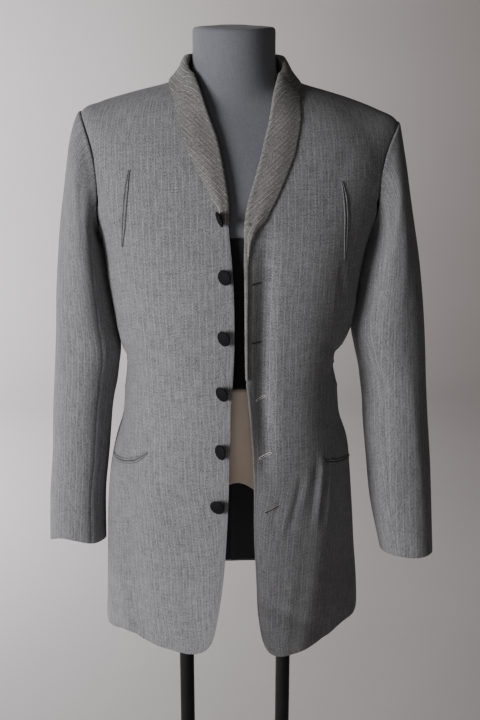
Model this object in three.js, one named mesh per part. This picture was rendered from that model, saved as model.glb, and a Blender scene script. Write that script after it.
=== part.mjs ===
// Blazer on a dress form: a long single-breasted blazer with a narrow shawl collar, worn open.
// Millimetres, +Z up. The front faces -Y and the wearer's right side is at -X.
// The origin is the centre of the base plate's underside.
import * as THREE from 'three';

// ---------- driving sizes ----------
const WALL = 1.6;             // cloth with its interlining
const COLLAR_WALL = 1.8;
const LINING_WALL = 1.0;
const SEAM_GAP = 0.15;        // each panel stops this far short of its seam line
const ARMHOLE_GAP = 0.45;     // sleeve head clear of the armhole edge
const UNDERARM_LIFT = 0.4;
const LAID_GAP = 0.35;        // what lies on a panel is this far off it
const SEAT_GAP = 0.45;        // blazer off the form's shoulder ridge
const ARMHOLE_SPREAD = 26;    // degrees that the armhole reaches forward and back of the side
const HEM_ROW = 0.12;         // the first row of a panel above its hem, in rings
const BACK_ROUND = 2.5;       // superellipse exponent of the back halves of the rings
const HEIGHT_BEND = 1.5;      // how a ring climbs from its front or back to its side
const PIT = 13;               // ring at the bottom of the armhole
const TIP = 17;               // ring at the shoulder tip
const NECK = 22;              // ring at the neckline
const BUTTON_RADIUS = 11.2;
const BUTTON_DOME = 5.2;
const BUTTON_CHAMFER = 2.2;
const BUTTON_EDGE = 1.3;      // height of the widest edge above the button's back
const BUTTON_SINK = 0.1;      // how far a button's thread draws it towards the front
const NECK_RADIUS = 59.3;
const CHEST_LINE = 1288.7;    // height where the form's chest section meets its waist section
const WAIST_LINE = 1064.6;    // height where the waist section meets the hip section
const GROIN = { top: 918, half: 60, middle: -2 };
const LEG_BOTTOM = 845;
const POST_SPREAD = 80;
const POST_RADIUS = 11.8;
const BASE_SIZE = { width: 460, depth: 360, thick: 6, corner: 40 };

// ---------- tables ----------
// One row for each ring of the blazer's body, hem to neckline. zR, zL: height of the side point.
// xR, xL: half width. eR, eL: distance of the front edge from the middle. yf: depth in front,
// fR, fL: height in front, round: exponent of the front half. yb, zb: depth and height at the back.
const BODY_COLUMNS = ['zR', 'zL', 'xR', 'xL', 'eR', 'eL', 'yf', 'fR', 'fL', 'round', 'yb', 'zb'];
const BODY_ROWS = [
  [652, 664, 209, 202, 48, 40, 156, 658, 646, 1.57, 118, 680],
  [720, 720, 206, 199, 35, 26, 153, 724, 718, 1.74, 118, 735],
  [790, 790, 202, 192, 26, 22, 151, 791, 789, 1.9, 118, 797],
  [860, 860, 198, 186, 21, 19, 148, 860, 860, 2.03, 119, 862],
  [920, 920, 192, 180, 18, 19, 144, 920, 920, 2.12, 115, 920],
  [960, 960, 184, 174, 17, 18, 142, 960, 960, 2.15, 108, 960],
  [1000, 1000, 172, 161, 15, 16, 139, 1000, 1000, 2.18, 99, 1000],
  [1045, 1045, 167, 156, 14, 13, 136, 1045, 1045, 2.2, 91, 1045],
  [1084, 1084, 163, 150, 11, 9, 133, 1084, 1084, 2.2, 88, 1084],
  [1122, 1122, 172, 167, 9, 8, 131, 1122, 1122, 2.25, 91, 1122],
  [1170, 1170, 180, 179, 8, 7.5, 129, 1170, 1170, 2.3, 97, 1170],
  [1215, 1215, 187, 186, 9, 7.5, 127, 1215, 1215, 2.35, 104, 1215],
  [1255, 1255, 191, 193, 11, 7, 124, 1255, 1255, 2.4, 110, 1255],
  [1291, 1287, 198, 202, 14, 8, 122, 1289, 1287, 2.4, 115, 1290],
  [1330, 1325, 211, 218, 16, 10, 118, 1318, 1316, 2.4, 118, 1330],
  [1370, 1362, 222, 231, 18, 16, 110, 1346, 1343, 2.4, 117, 1368],
  [1412, 1400, 225, 238, 22, 25, 101, 1374, 1370, 2.4, 112, 1405],
  [1453, 1437, 216, 235, 27, 34, 90, 1402, 1398, 2.4, 104, 1434],
  [1466, 1455, 188, 204, 32, 40, 80, 1424, 1420, 2.3, 95, 1456],
  [1476, 1470, 155, 166, 39, 46, 72, 1442, 1440, 2.2, 86, 1472],
  [1484, 1481, 126, 130, 46, 50, 66, 1457, 1456, 2.15, 78, 1485],
  [1491, 1489, 99, 101, 53, 55, 60, 1469, 1469, 2.1, 70, 1493],
  [1499, 1498, 76, 77, 61, 62, 56, 1480, 1480, 2.1, 62, 1500],
];

// Rings of a sleeve after the armhole. uo, zo: outermost point. ui, zi: innermost point.
// yc: middle of the depth, b: half depth. Distances are measured outward from the middle plane.
const SLEEVE_COLUMNS = ['uo', 'zo', 'ui', 'zi', 'yc', 'b'];
const SLEEVE_RIGHT = [
  [221, 1452, 201, 1288, 0, 58],
  [228, 1444, 203, 1281, 1, 62],
  [234, 1421, 200, 1269, 2, 66],
  [239, 1390, 196.5, 1254, 3, 68],
  [246, 1345, 193.5, 1234, 4, 69],
  [253, 1300, 190.5, 1210, 5, 69],
  [259, 1248, 186.5, 1180, 7, 67],
  [265, 1188, 181, 1142, 9, 65],
  [269, 1126, 174, 1100, 11, 62],
  [274, 1060, 179, 1052, 12, 60],
  [279, 1000, 188, 1000, 12, 58],
  [283, 935, 195, 935, 11, 55],
  [290, 868, 203, 868, 10, 52],
  [294, 788, 205, 788, 9, 50],
];
const SLEEVE_LEFT = [
  [239, 1437, 205, 1284, 0, 58],
  [243, 1427, 206, 1277, -1, 62],
  [246, 1401, 203, 1264, -2, 66],
  [250, 1368, 198.5, 1249, -4, 68],
  [257, 1328, 194, 1229, -6, 69],
  [264, 1290, 190, 1205, -8, 69],
  [273, 1240, 185.5, 1176, -11, 67],
  [281, 1182, 179, 1142, -14, 65],
  [286, 1120, 184, 1100, -18, 62],
  [290, 1056, 193, 1050, -22, 60],
  [294, 998, 196, 998, -28, 58],
  [300, 933, 202, 933, -35, 55],
  [304, 862, 210, 862, -43, 52],
  [308, 780, 227, 780, -52, 50],
];

// How far the collar spreads over the front from the front edge, by ring.
const SPREAD_COLUMNS = ['ring', 'right', 'left'];
const SPREAD_ROWS = [
  [8, 3, 3],
  [9, 6, 5],
  [12, 6, 6],
  [13, 6, 10],
  [13.6, 6, 18],
  [14, 8, 26],
  [15, 21, 35],
  [16, 32, 39],
  [17, 41, 43],
  [18, 43, 43],
  [19, 41, 41],
  [20, 38, 37],
  [22, 26, 27],
];

// Rings of the form: z, half width x, front depth yf with its height zf, back depth yb with zb.
const FORM_COLUMNS = ['z', 'x', 'yf', 'zf', 'yb', 'zb'];
const FORM_ROWS = [
  [LEG_BOTTOM, 160, 92, LEG_BOTTOM, 96, LEG_BOTTOM],
  [905, 168, 103, 905, 96, 905],
  [960, 164, 103, 960, 89, 960],
  [1015, 151, 99, 1015, 83, 1015],
  [WAIST_LINE, 143, 96, WAIST_LINE, 80, WAIST_LINE],
  [1100, 143, 96, 1100, 81, 1100],
  [1150, 153, 101, 1150, 88, 1150],
  [1205, 163, 107, 1205, 96, 1205],
  [1250, 172, 111, 1250, 103, 1250],
  [CHEST_LINE, 179, 112, CHEST_LINE, 108, CHEST_LINE],
  [1325, 185, 109, 1319, 111, 1326],
  [1360, 188, 102, 1347, 110, 1362],
  [1395, 188, 93, 1374, 106, 1396],
  [1424, 184, 83, 1401, 98, 1426],
  [1444, 172, 74, 1422, 89, 1448],
  [1461, 150, 66, 1438, 80, 1465],
  [1474, 122, 60, 1452, 70, 1478],
  [1483, 94, 56, 1464, 61, 1488],
  [1492, 69, 56, 1478, 53, 1496],
  [1506, 61, 60, 1500, 49, 1508],
  [1535, 59, 66, 1535, 47, 1535],
  [1560, NECK_RADIUS, NECK_RADIUS + 8, 1557, 48, 1563],
  [1565, 58, 66, 1562, 46.5, 1568],
  [1567.5, 54, 62, 1564.5, 42.5, 1570.5],
];

// Buttons, top to bottom: distance from the middle, height, tilt from the front's surface and
// how far below level the tilted face looks, in degrees.
const BUTTON_COLUMNS = ['u', 'z', 'tilt', 'drop'];
const BUTTON_ROWS = [
  [26, 1317, 80, 22],
  [20.5, 1239, 40, 14],
  [22, 1154, 44, 16],
  [25, 1074, 44, 22],
  [27.5, 989, 50, 6],
  [33.5, 905, 26, 38],
];

// Pocket mouths as arcs on the front: both ends and the bow of the middle, as angle and height.
const POCKET_COLUMNS = ['phi0', 'z0', 'phi1', 'z1', 'bowPhi', 'bowZ'];
const POCKETS = {
  chest_right: [41.1, 1379, 51.7, 1275, -1.4, 1],
  chest_left: [35.8, 1362, 46.2, 1253, -0.7, 8],
  hip_right: [46.6, 972, 82.5, 944, -2.7, -9],
  hip_left: [43.7, 956, 80, 932, -6, 1],
};

// Soft folds of the body: side, the ends as ring and angle, width in mm, depth in mm (+ is out).
const FOLD_COLUMNS = ['side', 'ring0', 'phi0', 'ring1', 'phi1', 'width', 'depth'];
const FOLD_ROWS = [
  [-1, 0, 30, 5.2, 46, 24, 2.5],
  [-1, 0, 50, 4.6, 62, 24, -4.0],
  [-1, 0, 74, 4.2, 80, 24, 3.5],
  [1, 0, 34, 4.8, 46, 24, 3.5],
  [1, 0, 58, 4.6, 68, 28, -3.5],
  [-1, 8.2, 88, 9.4, 52, 20, -3.0],
  [1, 8.1, 88, 9.2, 46, 20, -4.0],
  [1, 8.8, 89, 10.8, 60, 22, 3.0],
  [-1, 0, 120, 4.5, 128, 34, -4.0],
  [1, 0, 124, 4.5, 130, 34, -4.0],
  [-1, 8.2, 96, 9.6, 140, 22, -3.0],
  [1, 8.2, 96, 9.6, 142, 22, -3.0],
  [-1, 13.5, 150, 17, 118, 34, -2.5],
  [1, 13.5, 150, 17, 118, 34, -2.5],
];

// ---------- small helpers ----------
const clamp = (v, lo, hi) => Math.min(hi, Math.max(lo, v));
const lerp = (a, b, k) => a + (b - a) * k;
const smooth = (k) => {
  const c = clamp(k, 0, 1);
  return c * c * (3 - 2 * c);
};
const degrees = THREE.MathUtils.degToRad;
const signedPower = (v, p) => Math.sign(v) * Math.abs(v) ** p;
const range = (n) => Array.from({ length: n }, (_, i) => i);

// A smooth curve through the rows of one column, read at a row number.
function readRow(rows, columns, name, at) {
  const c = columns.indexOf(name);
  const last = rows.length - 1;
  const i = clamp(Math.floor(at), 0, last - 1);
  const k = at - i;
  const p = [-1, 0, 1, 2].map((d) => rows[clamp(i + d, 0, last)][c]);
  const m1 = (p[2] - p[0]) / 2;
  const m2 = (p[3] - p[1]) / 2;
  const a = 2 * p[1] - 2 * p[2] + m1 + m2;
  const b = 3 * (p[2] - p[1]) - 2 * m1 - m2;
  return p[1] + k * (m1 + k * (b + k * a));
}

// Straight interpolation of a column against the value in the first column.
function readKey(rows, columns, name, key) {
  const c = columns.indexOf(name);
  let i = 0;
  while (i < rows.length - 2 && rows[i + 1][0] < key) i += 1;
  const k = clamp((key - rows[i][0]) / (rows[i + 1][0] - rows[i][0]), 0, 1);
  return lerp(rows[i][c], rows[i + 1][c], k);
}

const sideKey = (side) => (side < 0 ? 'R' : 'L');
const body = (name, ring) => readRow(BODY_ROWS, BODY_COLUMNS, name, ring);
const record = (columns, row) => Object.fromEntries(columns.map((name, i) => [name, row[i]]));

// ---------- the body's surface ----------
const SOFTENING = [1, 2, 3, 4, 3, 2, 1].map((v) => v / 16);

// A side column of the body table, evened out over its neighbours away from the side line.
function softened(name, ring, cos) {
  const near = (i) => body(name, clamp(ring + i - 3, 0, NECK));
  const even = SOFTENING.reduce((sum, share, i) => sum + share * near(i), 0);
  const start = lerp(0.3, 0.05, smooth((ring - 11) / 4));
  const away = smooth((cos - start) / 0.5) * smooth(ring / 2) * smooth((20 - ring) / 2);
  return lerp(body(name, ring), even, away);
}

// phi is 0 at the middle of the front, 90 at the side and 180 at the centre back.
function ringPoint(side, ring, phi) {
  const key = sideKey(side);
  const angle = degrees(phi);
  const ahead = Math.cos(angle) >= 0;
  const round = ahead ? body('round', ring) : lerp(BACK_ROUND, 2.1, smooth((ring - TIP) / (NECK - TIP)));
  const cos = Math.abs(Math.cos(angle));
  const high = softened(`z${key}`, ring, cos);
  const far = ahead ? body(`f${key}`, ring) : body('zb', ring);
  const depth = ahead ? -body('yf', ring) : body('yb', ring);
  return new THREE.Vector3(
    side * softened(`x${key}`, ring, cos) * signedPower(Math.sin(angle), 2 / round),
    depth * cos ** (2 / round),
    high + (far - high) * cos ** HEIGHT_BEND,
  );
}

// Angle of the point of a ring's front that lies u away from the middle plane.
function phiOfU(side, ring, u) {
  let angle = 0;
  for (let i = 0; i < 4; i += 1) {
    const share = clamp(u / softened(`x${sideKey(side)}`, ring, Math.cos(angle)), 0, 1);
    angle = Math.asin(share ** (body('round', ring) / 2));
  }
  return THREE.MathUtils.radToDeg(angle);
}

const frontEdge = (side, ring) => phiOfU(side, ring, body(`e${sideKey(side)}`, ring));

// How far the folds raise or sink a surface point.
function foldHeight(side, ring, phi, place) {
  let height = 0;
  for (const row of FOLD_ROWS) {
    const fold = record(FOLD_COLUMNS, row);
    if (fold.side !== side) continue;
    const along = (ring - fold.ring0) / (fold.ring1 - fold.ring0);
    if (along < -0.3 || along > 1.3) continue;
    const phiLine = lerp(fold.phi0, fold.phi1, clamp(along, 0, 1));
    const across = place.distanceTo(ringPoint(side, ring, phiLine));
    const open = fold.ring0 === 0 ? 1 : smooth((along + 0.3) / 0.5);
    const ends = open * smooth((1.3 - along) / 0.7);
    height += fold.depth * ends * Math.exp(-((across / fold.width) ** 2));
  }
  return height;
}

function bodyNormal(side, ring, phi) {
  const dr = 0.04;
  const dp = 0.6;
  const alongRing = ringPoint(side, ring, phi + dp).sub(ringPoint(side, ring, phi - dp));
  const upRings = ringPoint(side, ring + dr, phi).sub(ringPoint(side, ring - dr, phi));
  return new THREE.Vector3().crossVectors(alongRing, upRings).multiplyScalar(side).normalize();
}

function bodyPoint(side, ring, phi, off = 0) {
  const place = ringPoint(side, ring, phi);
  const rise = foldHeight(side, ring, phi, place) + off;
  return place.addScaledVector(bodyNormal(side, ring, phi), rise);
}

// The armhole is an ellipse in ring and angle: theta is 0 at the tip, 180 at the pit.
function armholePlace(theta, size = 1) {
  const angle = degrees(theta);
  const ring = lerp(PIT, TIP, (1 + size * Math.cos(angle)) / 2);
  return [ring, 90 - ARMHOLE_SPREAD * size * Math.sin(angle)];
}

// Where the sleeve head starts: just inside the armhole edge, and off the panel at the underarm.
function sleeveStart(side, theta) {
  const [ring, phi] = armholePlace(theta);
  const edge = bodyPoint(side, ring, phi);
  const holeward = bodyPoint(side, ...armholePlace(theta, 0.96)).sub(edge).setLength(ARMHOLE_GAP);
  const under = smooth((0.2 - Math.cos(degrees(theta))) / 0.8);
  return edge.add(holeward).addScaledVector(bodyNormal(side, ring, phi), UNDERARM_LIFT * under);
}

// ---------- closed walls from grids ----------
function addFace(list, a, b, c, d) {
  list.push(a, b, c, a, c, d);
}

// outer and inner are grids of the same size; flip turns the faces to point out.
function wall(outer, inner, flip) {
  const rows = outer.length;
  const cols = outer[0].length;
  const positions = [];
  for (const grid of [outer, inner]) {
    for (const line of grid) for (const p of line) positions.push(p.x, p.y, p.z);
  }
  const at = (layer, r, c) => layer * rows * cols + r * cols + c;
  const faces = [];
  for (const r of range(rows - 1)) {
    for (const c of range(cols - 1)) {
      addFace(faces, at(0, r, c), at(0, r, c + 1), at(0, r + 1, c + 1), at(0, r + 1, c));
      addFace(faces, at(1, r, c), at(1, r + 1, c), at(1, r + 1, c + 1), at(1, r, c + 1));
    }
  }
  for (const r of range(rows - 1)) {
    addFace(faces, at(0, r, 0), at(0, r + 1, 0), at(1, r + 1, 0), at(1, r, 0));
    addFace(faces, at(0, r, cols - 1), at(1, r, cols - 1), at(1, r + 1, cols - 1), at(0, r + 1, cols - 1));
  }
  for (const c of range(cols - 1)) {
    addFace(faces, at(0, 0, c), at(1, 0, c), at(1, 0, c + 1), at(0, 0, c + 1));
    addFace(faces, at(0, rows - 1, c), at(0, rows - 1, c + 1), at(1, rows - 1, c + 1), at(1, rows - 1, c));
  }
  if (flip) {
    for (let i = 0; i < faces.length; i += 3) [faces[i + 1], faces[i + 2]] = [faces[i + 2], faces[i + 1]];
  }
  const geometry = new THREE.BufferGeometry();
  geometry.setAttribute('position', new THREE.Float32BufferAttribute(positions, 3));
  geometry.setIndex(faces);
  geometry.computeVertexNormals();
  return geometry;
}

// Moves the border points of a grid a little towards their inner neighbours.
function inset(grid, gaps) {
  const rows = grid.length;
  const cols = grid[0].length;
  const pull = (p, q, gap) => q.clone().sub(p).setLength(gap);
  const moves = grid.map((line) => line.map(() => new THREE.Vector3()));
  for (const c of range(cols)) {
    if (gaps.first) moves[0][c].add(pull(grid[0][c], grid[1][c], gaps.first));
    if (gaps.last) moves[rows - 1][c].add(pull(grid[rows - 1][c], grid[rows - 2][c], gaps.last));
  }
  for (const r of range(rows)) {
    if (gaps.start) moves[r][0].add(pull(grid[r][0], grid[r][1], gaps.start));
    if (gaps.end) moves[r][cols - 1].add(pull(grid[r][cols - 1], grid[r][cols - 2], gaps.end));
  }
  return grid.map((line, r) => line.map((p, c) => p.clone().add(moves[r][c])));
}

// ---------- blazer body panels ----------
const BACK_COLUMNS = 10;

// Ring numbers of a panel's rows: even below the armhole, crowded where the armhole turns.
function panelRings(low) {
  const lower = [low, ...range(16).map((i) => lerp(low + HEM_ROW, PIT, i / 15))];
  const arm = range(9).map((i) => lerp(PIT, TIP, (1 - Math.cos(Math.PI * (i + 1) / 9)) / 2));
  const top = range(6).map((i) => lerp(TIP, NECK, (i + 1) / 6));
  return [...lower, ...arm, ...top];
}

function armholeReach(ring) {
  const k = clamp((ring - PIT) / (TIP - PIT), 0, 1);
  return ARMHOLE_SPREAD * 2 * Math.sqrt(k * (1 - k));
}

const HEM_GIRTH = 1.25;       // length of a front's hem over its half width
const CORNER = { across: 36, rings: 0.6 };

// The rounded lower corner: the start ring of a column by its distance from the front edge.
function cornerRing(side, share) {
  const away = share * body(`x${sideKey(side)}`, 0) * HEM_GIRTH;
  const k = clamp(1 - away / CORNER.across, 0, 1);
  return CORNER.rings * (1 - Math.sqrt(1 - k * k));
}

function panelGrids(side, columns, phiAt, lowAt, off) {
  const rowCount = panelRings(0).length;
  const grid = (depth) => range(rowCount).map((r) => columns.map((share) => {
    const ring = panelRings(lowAt(share))[r];
    return bodyPoint(side, ring, phiAt(ring, share), depth);
  }));
  return [grid(off), grid(off - WALL)];
}

function bodyPanel(side, front) {
  const count = front ? 12 : BACK_COLUMNS;
  const even = range(count).map((i) => i / (count - 1));
  const columns = front ? even.map((k) => k ** 1.4) : even;
  const phiAt = (ring, share) => (front
    ? lerp(frontEdge(side, ring), 90, share) - armholeReach(ring) * share ** 1.6
    : lerp(180, 90, share) + armholeReach(ring) * share ** 1.6);
  const lowAt = (share) => (front ? cornerRing(side, share) : 0);
  const [outer, inner] = panelGrids(side, columns, phiAt, lowAt, 0);
  const gaps = { start: front ? 0 : SEAM_GAP, end: SEAM_GAP, first: 0, last: 0 };
  return wall(inset(outer, gaps), inset(inner, gaps), front ? side < 0 : side > 0);
}

// The lining of the back skirt, hung just inside the back panel.
function lining(side) {
  const rings = panelRings(0).slice(1, 11);
  const columns = range(BACK_COLUMNS - 1).map((i) => lerp(180, 90, i / (BACK_COLUMNS - 1)));
  const grid = (depth) => rings.map((ring) => columns.map((phi) => bodyPoint(side, ring, phi, depth)));
  const outer = grid(-WALL - LAID_GAP);
  const inner = grid(-WALL - LAID_GAP - LINING_WALL);
  const gaps = { start: SEAM_GAP, end: 0, first: 0, last: 0 };
  return wall(inset(outer, gaps), inset(inner, gaps), side > 0);
}

// ---------- sleeves ----------
const SLEEVE_STEP = 20;       // degrees between the columns, the same as on the armhole edge
const SLEEVE_SEAM = 120;      // the two sleeve seams lie this far round from the outside
const HEAD_REACH = 3.2;       // rings over which the armhole's shape fades out
const CUFF_RISE = 13;         // the cuff is cut higher in front than behind
const SLEEVE_ROUND = 0.92;    // a little fuller than an oval

function sleeveRing(side, at, theta) {
  const rows = side < 0 ? SLEEVE_RIGHT : SLEEVE_LEFT;
  const read = (name, k) => readRow(rows, SLEEVE_COLUMNS, name, k);
  const last = rows.length - 1;
  const cos = Math.cos(degrees(theta));
  const sin = Math.sin(degrees(theta));
  const oval = (k) => {
    const out = (1 + signedPower(cos, SLEEVE_ROUND)) / 2;
    const u = lerp(read('ui', k), read('uo', k), out);
    const z = lerp(read('zi', k), read('zo', k), out);
    const slant = CUFF_RISE * smooth((k - last + 2.5) / 2.5);
    const y = read('yc', k) - read('b', k) * signedPower(sin, SLEEVE_ROUND);
    return new THREE.Vector3(side * u, y, z + slant * sin);
  };
  const base = oval(Math.max(at, 0));
  const head = sleeveStart(side, theta).sub(oval(0));
  return base.addScaledVector(head, 1 - smooth(at / HEAD_REACH));
}

// Shallow hollows on the sleeve: ring, angle, reach in rings, reach in degrees, depth in mm.
const SLEEVE_FOLD_COLUMNS = ['ring', 'theta', 'rings', 'spread', 'depth'];
const SLEEVE_FOLD_ROWS = [
  [8.6, 150, 0.5, 46, -3.0],
  [9.5, 140, 0.5, 50, -3.5],
  [7.4, 70, 1.6, 20, -2.0],
  [9.0, 215, 0.7, 40, 3.0],
];

function sleevePoint(side, at, theta, off) {
  const here = sleeveRing(side, at, theta);
  const round = sleeveRing(side, at, theta + 2).sub(sleeveRing(side, at, theta - 2));
  const down = sleeveRing(side, at + 0.1, theta).sub(sleeveRing(side, Math.max(at - 0.1, 0), theta));
  const normal = new THREE.Vector3().crossVectors(round, down).multiplyScalar(side).normalize();
  let fold = 0;
  for (const row of SLEEVE_FOLD_ROWS) {
    const f = record(SLEEVE_FOLD_COLUMNS, row);
    fold += f.depth * Math.exp(-(((at - f.ring) / f.rings) ** 2) - (((theta - f.theta) / f.spread) ** 2));
  }
  return here.addScaledVector(normal, fold + off);
}

function sleevePanel(side, from, to) {
  const rows = 20;
  const reach = SLEEVE_RIGHT.length - 1;
  const count = (to - from) / SLEEVE_STEP + 1;
  const grid = (depth) => range(rows).map((r) => range(count).map((c) => {
    const at = reach * (r / (rows - 1)) ** 1.35;
    return sleevePoint(side, at, from + c * SLEEVE_STEP, depth);
  }));
  const gaps = { first: 0, last: 0, start: SEAM_GAP, end: SEAM_GAP };
  return wall(inset(grid(0), gaps), inset(grid(-WALL), gaps), side < 0);
}

// ---------- shawl collar ----------
const UP = new THREE.Vector3(0, 0, 1);
const ROLL = { lapel: 3.6, neck: 15.6, back: 31.5 };          // height of the fold over the front
const RIM_RING = { lapel: 20, neck: 20.4, back: 21.35 };      // where the leaf's outer edge lies
const RIM_LIFT = LAID_GAP + 1.9;

// A station of the collar runs 0 to 1 up the roll line, then 1 to 2 round to the centre back.
function collarStation(side, s, lowRing) {
  const name = side < 0 ? 'right' : 'left';
  const onLapel = s <= 1;
  const ring = onLapel ? lerp(lowRing, NECK, s) : NECK;
  const neckEdge = frontEdge(side, NECK);
  const phi = onLapel ? frontEdge(side, ring) : lerp(neckEdge, 180, s - 1);
  const base = bodyPoint(side, ring, phi);
  const normal = bodyNormal(side, ring, phi);
  const spread = readKey(SPREAD_ROWS, SPREAD_COLUMNS, name, ring);
  const outU = body(`e${sideKey(side)}`, ring) + spread;
  const sideways = smooth((phi - neckEdge) / (90 - neckEdge));
  const backward = clamp((phi - 90) / 90, 0, 1);
  const outRing = onLapel
    ? Math.min(ring, lerp(RIM_RING.lapel, RIM_RING.neck, clamp((ring - RIM_RING.lapel) / 2, 0, 1)))
    : lerp(RIM_RING.neck, RIM_RING.back, sideways) - 0.1 * backward;
  const outPhi = onLapel
    ? phiOfU(side, outRing, outU)
    : lerp(phiOfU(side, RIM_RING.neck, outU), phi, sideways);
  const rim = bodyPoint(side, outRing, outPhi, RIM_LIFT);
  const rise = onLapel
    ? lerp(ROLL.lapel, ROLL.neck, smooth((ring - 18) / 4) ** 1.5)
    : lerp(ROLL.neck, ROLL.back, sideways);
  const turn = onLapel ? 0.55 * smooth((ring - 18) / 4) : lerp(0.55, 1, sideways);
  const outward = new THREE.Vector3(base.x, base.y, 0).normalize();
  const lean = UP.clone().addScaledVector(outward, lerp(-0.4, -0.28, backward)).normalize();
  const lift = normal.clone().lerp(lean, turn).normalize();
  const across = rim.clone().sub(base).normalize();
  const hollow = onLapel ? lerp(1.1, -1, smooth((ring - 19) / 3)) : lerp(-1, -3, sideways);
  return { base, normal, lift, across, rim, rise, hollow };
}

function collarSection(station) {
  const { base, normal, lift, across, rim, rise, hollow } = station;
  const from = (a, d) => base.clone().addScaledVector(across, a).addScaledVector(lift, d);
  const start = base.clone().addScaledVector(across, -1.5).addScaledVector(normal, -0.7);
  const crest = from(2.0, rise - 1.0);
  const middle = crest.clone().lerp(rim, 0.5).addScaledVector(normal, hollow);
  const points = [start, from(-2.7, rise * 0.5), from(-2.6, rise - 1.2), from(-0.6, rise + 0.5), crest,
    middle, rim];
  return new THREE.CatmullRomCurve3(points, false, 'centripetal');
}

function collar(side) {
  const lowRing = side < 0 ? 13.7 : 8.2;
  const lapel = side < 0 ? 13 : 18;
  const stations = [...range(lapel).map((i) => i / lapel), ...range(10).map((i) => 1 + i / 9)];
  const across = [0, 0.16, 0.27, 0.34, 0.41, 0.48, 0.6, 0.74, 0.87, 1];
  const middle = stations.map((s) => {
    const curve = collarSection(collarStation(side, s, lowRing));
    return across.map((k) => curve.getPoint(k));
  });
  const rows = middle.length;
  const cols = across.length;
  const half = COLLAR_WALL / 2;
  const shifted = (sign) => middle.map((line, r) => line.map((p, c) => {
    const down = middle[Math.min(r + 1, rows - 1)][c].clone().sub(middle[Math.max(r - 1, 0)][c]);
    const over = line[Math.min(c + 1, cols - 1)].clone().sub(line[Math.max(c - 1, 0)]);
    const out = new THREE.Vector3().crossVectors(over, down).multiplyScalar(side * sign).normalize();
    return p.clone().addScaledVector(out, half);
  }));
  const gaps = { first: 0, last: SEAM_GAP, start: 0, end: 0 };
  return wall(inset(shifted(1), gaps), inset(shifted(-1), gaps), side < 0);
}

// ---------- pocket lips ----------
const LIP = { width: 3.6, thick: 1.2, gap: 0.3, steps: 10 };

// Ring number of the front where it reaches a height, by halving; phiAt gives the angle on a ring.
function frameAtHeight(side, z, phiAt) {
  let lo = 0;
  let hi = NECK;
  for (let i = 0; i < 30; i += 1) {
    const mid = (lo + hi) / 2;
    if (ringPoint(side, mid, phiAt(mid)).z < z) lo = mid;
    else hi = mid;
  }
  const phi = phiAt(lo);
  return { place: bodyPoint(side, lo, phi), normal: bodyNormal(side, lo, phi) };
}

function pocketLip(side, row, edge) {
  const pocket = record(POCKET_COLUMNS, row);
  const frames = range(LIP.steps + 1).map((i) => {
    const k = i / LIP.steps;
    const bow = 4 * k * (1 - k);
    const phi = lerp(pocket.phi0, pocket.phi1, k) + pocket.bowPhi * bow;
    return frameAtHeight(side, lerp(pocket.z0, pocket.z1, k) + pocket.bowZ * bow, () => phi);
  });
  const grid = (off) => frames.map(({ place, normal }, i) => {
    const next = frames[Math.min(i + 1, LIP.steps)].place;
    const last = frames[Math.max(i - 1, 0)].place;
    const along = next.clone().sub(last).normalize();
    const over = new THREE.Vector3().crossVectors(normal, along);
    return range(3).map((c) => {
      const w = edge * (LIP.gap / 2 + LIP.width * c / 2);
      const crown = c === 1 ? 0.35 : 0;
      const lift = off > LAID_GAP ? crown : 0;
      return place.clone().addScaledVector(over, w).addScaledVector(normal, off + lift);
    });
  });
  return wall(grid(LAID_GAP + LIP.thick), grid(LAID_GAP), edge > 0);
}

// ---------- buttons ----------
function buttonGeometry() {
  const rim = BUTTON_RADIUS;
  const profile = [[0, 0], [rim - BUTTON_CHAMFER, 0], [rim, BUTTON_EDGE], [rim - 0.2, 2.6],
    [rim - 2.4, 4.2], [rim * 0.42, BUTTON_DOME - 0.3], [0, BUTTON_DOME]];
  return new THREE.LatheGeometry(profile.map(([x, y]) => new THREE.Vector2(x, y)), 14);
}

function placeButton(mesh, row) {
  const { u, z, tilt, drop } = record(BUTTON_COLUMNS, row);
  const { place, normal } = frameAtHeight(-1, z, (ring) => phiOfU(-1, ring, u));
  const slope = degrees(tilt);
  const [cos, sin] = [Math.cos(slope), Math.sin(slope)];
  const aside = new THREE.Vector3(-Math.cos(degrees(drop)), 0, -Math.sin(degrees(drop)));
  const facing = normal.clone().multiplyScalar(cos).addScaledVector(aside, sin);
  const rimDrop = Math.max(BUTTON_RADIUS * sin - BUTTON_EDGE * cos, (BUTTON_RADIUS - BUTTON_CHAMFER) * sin);
  const lift = LAID_GAP + rimDrop - BUTTON_SINK;
  mesh.quaternion.setFromUnitVectors(new THREE.Vector3(0, 1, 0), facing.normalize());
  mesh.position.copy(place).addScaledVector(normal, lift);
}

// ---------- dress form ----------
const FORM_SIDES = 28;
const CROWDING = 0.22;        // draws the form's columns towards the middle of front and back
const SEAT_ROWS = { from: 13.3, to: 17.8, fade: 0.7 };   // form rows that carry the blazer
const SEAT_NARROW = 0.03;     // how narrow the carrying ridge is, as a share of the sine

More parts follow.
